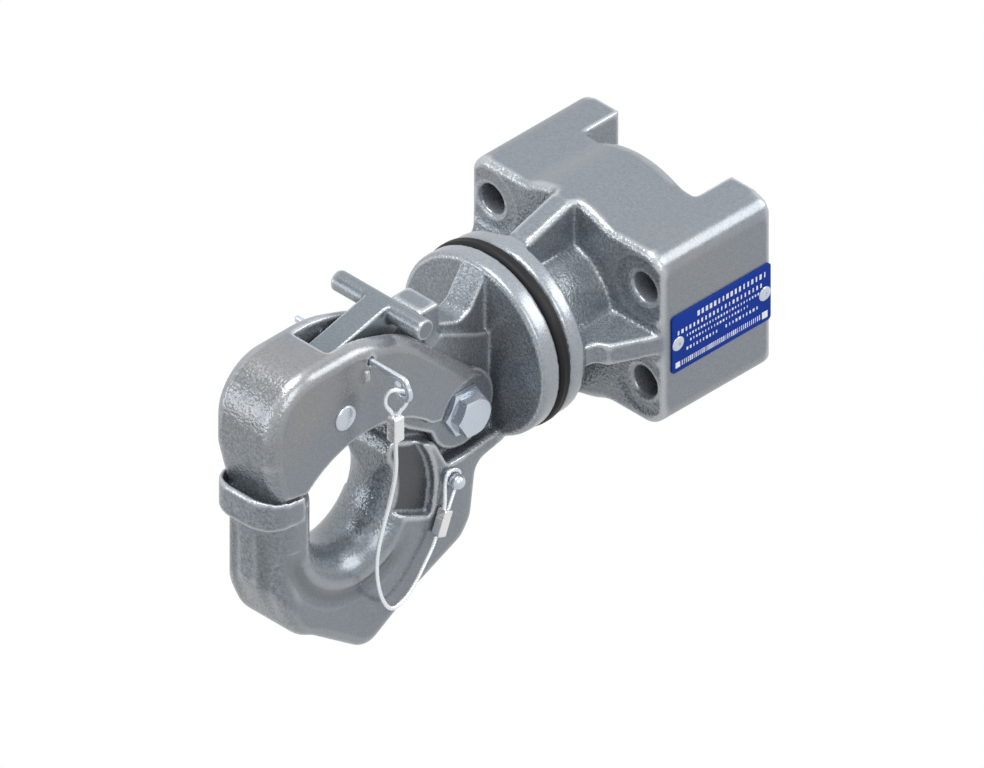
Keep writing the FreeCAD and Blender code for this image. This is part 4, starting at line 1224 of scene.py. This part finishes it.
@dataclass
class Hook(Casting):
    """Swivelling hook with its shaft and pivot hardware."""

    throat: tuple[float, float] = (192.0, 33.0)
    throat_span: tuple[float, float] = (164.0, 34.0)
    rim_radius: float = 28.5
    rim_depth: float = 0.45
    rim_spread: float = 2.6
    valley_radius: float = 36.5
    valley_depth: float = 1.8
    valley_spread: float = 3.6
    flute_place: float = 8.0
    flute_depth: float = 1.3
    flute_spread: float = 3.2
    horn_span: tuple[float, float] = (22.0, 70.0)
    horn_back: float = 207.0
    recess_face: float = 14.0
    recess_back: float = 148.0
    # darkness of the painted shade in the side recesses and in the grooves
    recess_shade: float = 0.8
    groove_shade: float = 0.3
    pivot: tuple[float, float] = (-131.5, -14.5)
    ear_face: float = 13.55
    washer: float = 2.5
    washer_radius: float = 10.5
    clearance: float = 0.1
    head: float = 5.2
    across: float = 16.0
    bolt: float = 5.0
    thread_pitch: float = 1.25
    thread_depth: float = 0.55
    stud: tuple[float, float] = (-142.8, -39.6)
    stud_profile: tuple = ((0.0, 10.0), (2.0, 10.0), (2.0, 16.9), (3.6, 17.05), (3.7, 17.5),
                           (2.3, 17.8), (1.9, 18.3))
    stud_ball: float = 3.3
    stud_out: float = 21.5
    stud_neck: float = 0.65

    def build(self) -> None:
        """Cast the hook and finish its hardware."""
        piece = self.cast("hook_body", "hook_forging", Slot.CAST)
        self.settle(piece, Slot.CAST, "hook", "hook_body")
        for node in ("rear_washer", "shaft_nut", "cotter_pin"):
            self.paint_node(node, Slot.ZINC)
        self.build_pivot()
        self.build_stud()

    def hollowed(self, points: np.ndarray, normals: np.ndarray) -> np.ndarray:
        """Sink soft flutes down the horn's front, and a valley that rolls the throat's rims.

        Args:
            points: The vertices.
            normals: Their normals.

        Returns:
            How far each vertex is sunk along its normal.
        """
        flute, valley, rim = self.grooves(points, normals)
        return MM * np.maximum(self.flute_depth * flute,
                               self.valley_depth * valley + self.rim_depth * rim)

    def grooves(self, points: np.ndarray, normals: np.ndarray
                ) -> tuple[np.ndarray, np.ndarray, np.ndarray]:
        """Find where the flutes, the valley round the throat and the throat's rims lie.

        Args:
            points: The vertices.
            normals: Their normals.

        Returns:
            How strongly each of the three acts on each vertex, from 0 to 1.
        """
        across, ahead, below = np.abs(points[:, 0]) / MM, -points[:, 1] / MM, -points[:, 2] / MM
        top, foot = self.horn_span
        front = ramp(-normals[:, 1], 0.25, 0.35) * ramp(ahead, self.horn_back, 10)
        front *= ramp(below, top, 6) * ramp(-below, -foot, 22)
        back, level = self.throat_span
        flank = ramp(np.abs(normals[:, 0]), 0.5, 0.3) * ramp(ahead, back, 10)
        flank *= ramp(below, level, 10)
        radius = np.hypot(ahead - self.throat[0], below - self.throat[1])
        flute = front * self.bell(across, self.flute_place, self.flute_spread)
        valley = flank * self.bell(radius, self.valley_radius, self.valley_spread)
        rim = flank * self.bell(radius, self.rim_radius, self.rim_spread)
        return flute, valley, rim

    @staticmethod
    def bell(values: np.ndarray, middle: float, spread: float) -> np.ndarray:
        """Bell curve that is 1 at its middle."""
        return np.exp(-((values - middle) / spread) ** 2)

    def shaded_recesses(self, points: np.ndarray, normals: np.ndarray) -> np.ndarray:
        """Paint shade into the recesses in the hook's two sides, and a little into the grooves.

        Args:
            points: The vertices.
            normals: Their normals.

        Returns:
            How dark the painted shade lies on each vertex.
        """
        x, y, _ = points.T / MM
        recess = (np.abs(x) < self.recess_face) & (y < -self.recess_back)
        recess &= np.abs(normals[:, 0]) > 0.97
        flute, valley, _ = self.grooves(points, normals)
        return np.maximum(self.recess_shade * recess,
                          self.groove_shade * np.maximum(flute, valley))

    def build_pivot(self) -> None:
        """Hexagon bolt through the hub, with its washers and nut."""
        seat, bore = self.ear_face + self.washer, self.bolt + self.clearance
        washer = hexagonal(1.2 * self.across, self.washer, along_x(self.ear_face, *self.pivot),
                           bore)
        self.make("pivot_seat_washer", washer, Slot.ZINC, "hook", "pivot_washer_near",
                  sharp=20.0)
        edge = self.washer_radius
        far = [(bore, 0.0), (edge - 0.2, 0.0), (edge, 0.2), (edge, self.washer - 0.3),
               (edge - 0.3, self.washer), (bore, self.washer)]
        self.make("pivot_round_washer", turned(far, along_x(-self.ear_face, *self.pivot, -1)),
                  Slot.ZINC, "hook", "pivot_washer_far")
        head = hexagonal(self.across, self.head, along_x(seat, *self.pivot))
        end = along_x(-seat, *self.pivot, -1)
        self.make("pivot_hexagon_bolt", head + turned(self.thread(), end, 48), Slot.ZINC, "hook",
                  "pivot_bolt", sharp=20.0)
        nut = hexagonal(self.across, 1.2 * self.head, end, bore - 0.05, both_ends=True)
        self.make("pivot_hexagon_nut", nut, Slot.ZINC, "hook", "pivot_nut", sharp=20.0)

    def thread(self) -> list[tuple[float, float]]:
        """Draw the outline of the bolt's threaded end.

        Returns:
            Radius and height pairs.
        """
        length = 1.4 * self.head
        outline = [(0.0, -0.1)]
        level = 0.0
        while level < length - self.thread_pitch:
            outline += [(self.bolt, level),
                        (self.bolt - self.thread_depth, level + self.thread_pitch / 2)]
            level += self.thread_pitch
        return outline + [(self.bolt, level), (self.bolt - 0.7, length), (0.0, length)]

    def build_stud(self) -> None:
        """Ball stud that the rope's lower loop hangs on."""
        ball = [(self.stud_ball * math.sin(angle), self.stud_out - self.stud_ball * math.cos(angle))
                for angle in np.linspace(self.stud_neck, math.pi, 18)]
        profile = [*self.stud_profile, *ball[:-1], (0.0, self.stud_out + self.stud_ball)]
        self.make("rope_ball_stud", turned(profile, along_x(0.0, *self.stud)), Slot.ZINC, "hook",
                  "cable_stud", sharp=40.0)


@dataclass
class Latch(Casting):
    """Hinged latch with its lever, lever pin, spring and safety pin."""

    voxel: float = 0.65 * MM
    lever_voxel: float = 0.5 * MM
    edge_gain: float = 0.07 * MM
    # painted shade on the latch starts at a lower shelter than on the housing
    shade_start: float = 0.7
    lever_pin: tuple[float, float] = (-200.4, 17.5)
    cheek: float = 17.0
    pin_radius: float = 3.5
    rivet_radius: float = 5.5
    rivet_height: float = 1.6
    rivet_rim: float = 0.22
    seat_gap: float = 0.05
    coil_start: float = 6.56
    coil_radius: float = 5.68
    coil_wire: float = 0.45
    coil_turns: float = 2.2
    coil_height: float = 2.0
    wire: tuple[float, float] = (2.9, 2.1)
    wire_round: float = 0.8
    tip_share: float = 0.6
    pin_line: tuple[float, float] = (-185.9, 37.4)
    pin_tail: float = -25.0
    eye_centre: tuple[float, float] = (34.7, 32.0)
    eye_radius: float = 3.5
    eye_arc: tuple[float, float] = (44.0, -214.0)
    eye_steps: int = 15
    eye_bends: tuple[tuple[float, float], ...] = ((-0.4, 0.0), (0.8, -0.15), (1.6, -1.0))

    def build(self) -> None:
        """Cast the latch and the lever, and make their small parts."""
        piece = self.cast("latch", "latch_casting", Slot.CAST)
        self.settle(piece, Slot.CAST, "latch", "latch")
        self.voxel = self.lever_voxel
        lever = self.cast("lock_lever", "lever_forging", Slot.FORGED)
        self.settle(lever, Slot.FORGED, "lever", "lock_lever")
        self.build_lever_pin()
        self.build_spring()
        self.build_safety_pin()

    def build_lever_pin(self) -> None:
        """Pin with a flattened dome at each end."""
        seat, top = self.cheek - self.seat_gap, self.cheek + self.rivet_height
        dome = [(self.rivet_radius * math.cos(angle),
                 self.cheek + self.rivet_height
                 * (self.rivet_rim + (1 - self.rivet_rim) * math.sin(angle)))
                for angle in np.linspace(0, math.pi / 2, 9)]
        half = [(self.pin_radius, 0.0), (self.pin_radius, seat), (self.rivet_radius, seat),
                *dome[:-1], (0.0, top)]
        other = [(radius, -level) for radius, level in reversed(half)]
        profile = other[:-1] + half[1:]
        self.make("lever_rivet", turned(profile, along_x(0.0, *self.lever_pin)), Slot.ZINC,
                  "latch", "lever_pin", sharp=50.0)

    def build_spring(self) -> None:
        """Coil spring beside the lever, grown from a spiral."""
        tree = Repeat("coil_spring")
        spiral = tree.node("GeometryNodeCurveSpiral")
        tree.join(tree.size("Steps", "Int"), spiral.inputs["Resolution"])
        tree.join(tree.size("Turns"), spiral.inputs["Rotations"])
        radius = tree.size("Radius")
        tree.join(radius, spiral.inputs["Start Radius"])
        tree.join(radius, spiral.inputs["End Radius"])
        tree.join(tree.size("Height"), spiral.inputs["Height"])
        wire = tree.node("GeometryNodeCurvePrimitiveCircle")
        wire.inputs["Resolution"].default_value = 14
        tree.join(tree.size("Wire"), wire.inputs["Radius"])
        sweep = tree.node("GeometryNodeCurveToMesh")
        sweep.inputs["Fill Caps"].default_value = True
        tree.join(spiral.outputs["Curve"], sweep.inputs["Curve"])
        tree.join(wire.outputs["Curve"], sweep.inputs["Profile Curve"])
        tree.finish(sweep.outputs["Mesh"], self.paints[Slot.ZINC])
        values = {"Steps": 40, "Turns": self.coil_turns, "Radius": self.coil_radius,
                  "Height": self.coil_height, "Wire": self.coil_wire}
        place = along_x(self.coil_start + self.coil_wire, *self.lever_pin)
        coil = tree.grow("lever_coil_spring", self.paints[Slot.ZINC], values, place, 60.0)
        self.settle(coil, Slot.ZINC, "latch", "lever_spring")

    def build_safety_pin(self) -> None:
        """Bent flat wire: straight through the latch, then a hook-shaped eye."""
        back, level = self.pin_line
        across, height = self.eye_centre
        bends = [(self.pin_tail, level)]
        bends += [(across + along, level + up) for along, up in self.eye_bends]
        bends += [(across + self.eye_radius * math.cos(angle),
                   height + self.eye_radius * math.sin(angle))
                  for angle in np.radians(np.linspace(*self.eye_arc, self.eye_steps))]
        line = evenly(np.array([(x, back, z) for x, z in bends]), 150)
        section = rounded_rectangle(*self.wire, self.wire_round, 5)
        body = swept(line, section)
        tip = body.points[:len(section)]
        body.points[:len(section)] = (tip.mean(axis=0) * (1 - self.tip_share)
                                      + tip * self.tip_share)
        self.make("safety_pin_wire", body, Slot.ZINC, "safety_pin", "safety_pin", sharp=50.0)


# Type plate


@dataclass
class TypePlate(Assembly):
    """Enamelled plate with plain printed fields, and its two blind rivets."""

    face: float = 53.8
    thickness: float = 0.8
    rear: float = -0.6
    length: float = 54.9
    height: float = 27.0
    middle: float = -2.5
    corner: float = 1.6
    bevel: float = 0.15
    print_lift: float = 0.02
    print_depth: float = 0.06
    rivet_inset: float = 3.4
    rivet_profile: tuple = ((0.0, 0.15), (0.0, 0.22), (0.75, 0.22), (0.85, 0.6), (1.2, 0.64),
                            (2.2, 0.5), (2.9, 0.28), (3.2, 0.02), (3.1, 0.0), (0.0, 0.0))
    rows: tuple = (
        # start from the front edge, level above the middle, length, height, fields, fill, seed
        (13.5, 9.3, 39.0, 2.4, 17, (0.25, 0.6), 3),
        (2.4, 5.0, 48.0, 1.9, 22, (0.2, 0.55), 5),
        (7.6, 1.7, 41.0, 1.1, 26, (0.2, 0.55), 8),
        (9.5, -1.2, 33.0, 1.1, 20, (0.2, 0.55), 13),
        (7.5, -4.6, 18.0, 1.4, 10, (0.2, 0.6), 21),
        (29.0, -4.6, 19.0, 1.4, 10, (0.2, 0.6), 34),
        (5.0, -10.0, 44.0, 2.4, 40, (0.25, 0.6), 55),
        (1.8, -10.0, 2.6, 2.6, 1, (0.95, 1.0), 89),
        (49.8, -10.0, 3.2, 3.2, 1, (0.95, 1.0), 144),
    )

    def build(self) -> None:
        """Make the plate, its print and its rivets."""
        outline = rounded_rectangle(self.length, self.height, self.corner)
        centre = (0.0, self.rear - self.length / 2, self.middle)
        rings = []
        for level, inset in ((0.0, 0.0), (self.thickness - self.bevel, 0.0),
                             (self.thickness, self.bevel)):
            scale = (outline.max(axis=0) - inset) / outline.max(axis=0)
            flat = outline * scale
            rings.append(np.column_stack([np.full(len(flat), self.face - self.thickness + level),
                                          flat[:, 0] + centre[1], flat[:, 1] + centre[2]]))
        self.make("plate_sheet", lofted(rings), Slot.PLATE, "housing", "type_plate", sharp=20.0)
        self.build_print()
        self.build_rivets()

    def on_plate(self, from_front: float, level: float = 0.0, lift: float = 0.0) -> Matrix:
        """Find a place on the plate, its local X along the plate and its Z outwards.

        Args:
            from_front: Distance from the plate's front edge.
            level: Height above the plate's middle line.
            lift: Distance above the plate's face.

        Returns:
            The place.
        """
        turn = Matrix.Rotation(math.radians(90), 4, "Z") @ Matrix.Rotation(math.radians(90), 4, "X")
        return Matrix.Translation((self.face + lift, self.rear - self.length + from_front,
                                   self.middle + level)) @ turn

    def row_tree(self) -> Repeat:
        """Grow a row of flat bars, each as wide as its random share of the pitch.

        Returns:
            The tree.
        """
        tree = Repeat("printed_row")
        count, pitch = tree.size("Count", "Int"), tree.size("Pitch")
        height, depth = tree.size("Height"), tree.size("Depth")
        share = tree.random(tree.size("Narrowest"), tree.size("Widest"), tree.size("Seed", "Int"))
        stretch = tree.node("ShaderNodeCombineXYZ")
        for axis, value in (("X", tree.maths("MULTIPLY", share, pitch)), ("Y", height),
                            ("Z", depth)):
            tree.join(value, stretch.inputs[axis])
        bar = tree.node("GeometryNodeMeshCube").outputs["Mesh"]
        tree.finish(tree.set_on(tree.row(count, pitch), bar, Scale=stretch.outputs["Vector"]),
                    self.paints.print)
        return tree

    def build_print(self) -> None:
        """Rows of plain fields and a row of ticks, all one mesh."""
        tree = self.row_tree()
        whole = bmesh.new()
        for number, (start, level, length, height, count, fill, seed) in enumerate(self.rows):
            pitch = length / count
            place = self.on_plate(start + pitch / 2, level, self.print_lift)
            values = {"Count": count, "Pitch": pitch, "Height": height,
                      "Depth": self.print_depth, "Narrowest": fill[0], "Widest": fill[1],
                      "Seed": seed}
            piece = tree.grow(f"plate_row_{number}", self.paints.print, values, place)
            whole.from_mesh(piece.data)
            bpy.data.objects.remove(piece)
        mesh = bpy.data.meshes.new("plate_fields")
        whole.to_mesh(mesh)
        whole.free()
        mesh.materials.append(self.paints.print)
        self.settle(placed("plate_fields", mesh), Slot.PLATE, "housing")

    def build_rivets(self) -> None:
        """Two blind rivets set along the plate's middle line."""
        zinc = self.paints[Slot.ZINC]
        in_millimetres = Matrix.Scale(1 / MM, 4)
        master = new_object("rivet_master", turned(list(self.rivet_profile), in_millimetres, 40),
                            zinc)
        tree = Repeat("rivet_pair")
        source = tree.node("GeometryNodeObjectInfo")
        tree.join(tree.size("Rivet", "Object"), source.inputs["Object"])
        row = tree.row(tree.size("Count", "Int"), tree.size("Pitch"))
        tree.finish(tree.set_on(row, source.outputs["Geometry"]), zinc)
        values = {"Rivet": master, "Pitch": self.length - 2 * self.rivet_inset, "Count": 2}
        pair = tree.grow("plate_rivets", zinc, values, self.on_plate(self.rivet_inset), 40.0)
        bpy.data.objects.remove(master)
        self.settle(pair, Slot.ZINC, "housing", "plate_rivet_front", "plate_rivet_rear")


# Tether


@dataclass
class Tether(Assembly):
    """Wire rope between the hook's stud and the safety pin, with ferrules and loops."""

    radius: float = 0.9
    lay_length: float = 7.5
    strands: int = 6
    groove: float = 0.16
    split: Point = (24.8, -190.4, -48.1)
    mouth: Point = (30.5, -185.9, 18.1)
    ferrule_length: float = 11.6
    ferrule_widths: tuple[float, float] = (5.3, 4.6)
    press_marks: tuple[float, float] = (3.6, 8.0)
    press_depth: float = 0.03
    loop_gap: float = 0.2
    stud: Point = (18.6, -142.8, -39.6)
    lean: float = math.radians(22.0)
    lower_x: float = 20.0
    loop_length: float = 12.4
    loop_radius: float = 3.7
    loop_leg: float = 1.28
    loop_shoulder: float = 1.5
    route: tuple = (
        (30.5, -185.9, 6.5), (30.5, -185.9, 2.5), (29.4, -184.4, -9.6), (27.8, -185.8, -23.4),
        (26.3, -188.4, -35.3), (24.8, -190.4, -48.1), (23.4, -189.6, -61.2),
        (22.2, -185.5, -74.9), (21.4, -179.5, -83.5), (20.9, -172.5, -83.2),
        (20.5, -165.6, -78.6), (20.2, -159.2, -70.8), (20.0, -154.474, -65.083),
        (20.0, -152.976, -61.374))
    upper_loop: tuple = (
        (-0.6, -1.1, 0.0), (-0.6, -1.1, 1.6), (-2.1, -3.9, 5.6), (-1.2, -4.4, 11.8),
        (1.9, -3.2, 15.2), (4.2, 0.0, 13.9), (4.2, 2.8, 10.6), (2.5, 3.2, 4.8),
        (0.6, 1.1, 1.6), (0.6, 1.1, 0.0))

    def build(self) -> None:
        """Make the rope, its loops and ferrules."""
        line = smooth_route("rope_line", list(self.route))
        middle = int(np.argmin(np.linalg.norm(line - np.array(self.split), axis=1)))
        upper, lower = line[:middle + 1], line[middle:][::-1]
        upper_rope = self.rope("rope_upper", upper)
        lower_rope = self.rope("rope_lower", lower)
        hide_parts("tether_cable")
        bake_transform(upper_rope)
        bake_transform(lower_rope)
        self.declare(upper_rope, upper, self.build_upper_end())
        self.declare(lower_rope, lower, self.build_lower_end())

    def build_upper_end(self) -> list[Piece]:
        """Make the loop through the safety pin's eye, and the ferrule that closes it.

        Returns:
            The loop and the ferrule.
        """
        corner = np.array(self.mouth)
        points = [tuple(corner + np.array(step)) for step in self.upper_loop]
        loop = self.rope("rope_upper_loop", smooth_route("loop_line", points, self.loop_gap))
        self.settle(loop, Slot.ROPE, "safety_pin", "upper_loop")
        foot = Matrix.Translation(self.mouth) @ Matrix.Translation((0, 0, -self.ferrule_length))
        sleeve = self.make("ferrule_upper", self.sleeve(self.ferrule_widths[0], foot),
                           Slot.FERRULE, "safety_pin", "upper_ferrule", sharp=60.0)
        return [loop, sleeve]

    def build_lower_end(self) -> list[Piece]:
        """Make the loop round the ball stud, and the ferrule that closes it.

        Returns:
            The loop and the ferrule.
        """
        along = np.array([0.0, math.sin(self.lean), math.cos(self.lean)])
        side = np.array([0.0, -math.cos(self.lean), math.sin(self.lean)])
        stud = np.array(self.stud)
        head = stud - along * self.loop_length
        head[0] = self.lower_x
        ring, leg, shoulder = self.loop_radius, self.loop_leg, along * self.loop_shoulder
        points = [head + side * leg, head + side * leg + shoulder,
                  stud - shoulder + side * ring, stud + along * ring + side * ring,
                  stud + along * ring - side * ring, stud - shoulder - side * ring,
                  head - side * leg + shoulder, head - side * leg]
        loop = self.rope("rope_lower_loop", smooth_route("loop_line", points, self.loop_gap))
        self.settle(loop, Slot.ROPE, "hook", "lower_loop")
        foot = (Matrix.Translation(head - along * self.ferrule_length)
                @ Matrix.Rotation(-self.lean, 4, "X"))
        sleeve = self.make("ferrule_lower", self.sleeve(self.ferrule_widths[1], foot),
                           Slot.FERRULE, "hook", "lower_ferrule", sharp=60.0)
        return [loop, sleeve]

    def sleeve(self, width: float, place: Matrix) -> Shell:
        """Pressed square sleeve with eased ends and two press marks.

        Args:
            width: Width across.
            place: Where its foot sits, its length along local Z.

        Returns:
            The closed sleeve.
        """
        outline = rounded_rectangle(width, width, width * 0.16, 6)
        rings = []
        for level in np.linspace(0, self.ferrule_length, 47):
            ends = min(level, self.ferrule_length - level)
            scale = 1 - 0.2 * max(0.0, 1 - ends / 0.8) ** 2
            for mark in self.press_marks:
                scale -= self.press_depth * math.exp(-((level - mark) / 0.5) ** 2)
            rings.append(np.column_stack([outline * scale, np.full(len(outline), level)]))
        return moved(lofted(rings), place)

    def declare(self, piece: Piece, line: np.ndarray,
                pieces: list[Piece]) -> None:
        """Take a cord, its path and the pieces at its fixed end, and leave them as they are.

        Args:
            piece: The cord; not used.
            line: The path that it follows; not used.
            pieces: The loop and the ferrule at its fixed end; not used.
        """

    def rope(self, name: str, line: np.ndarray) -> Piece:
        """Make a twisted rope along a line.

        Args:
            name: Name of the piece.
            line: Its path.

        Returns:
            The rope, not yet on a body.
        """
        angles = round_angles(self.strands * 8)
        lobes = 1 - self.groove * (1 - np.abs(np.cos(angles * self.strands / 2)))
        section = np.column_stack([np.cos(angles), np.sin(angles)]) * lobes[:, None]
        return new_object(name, swept(line, section * self.radius, self.lay_length),
                          self.paints[Slot.ROPE], 60.0)


def main() -> None:
    """Build the studio and every sub-assembly."""
    logging.basicConfig(level=logging.INFO, format="%(message)s")
    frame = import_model()
    Studio().build()
    paints = Paintbox()
    for kind in (Tether, Housing, Hook, Latch, TypePlate):
        kind(frame, paints).build()


if __name__ == "__main__":
    main()
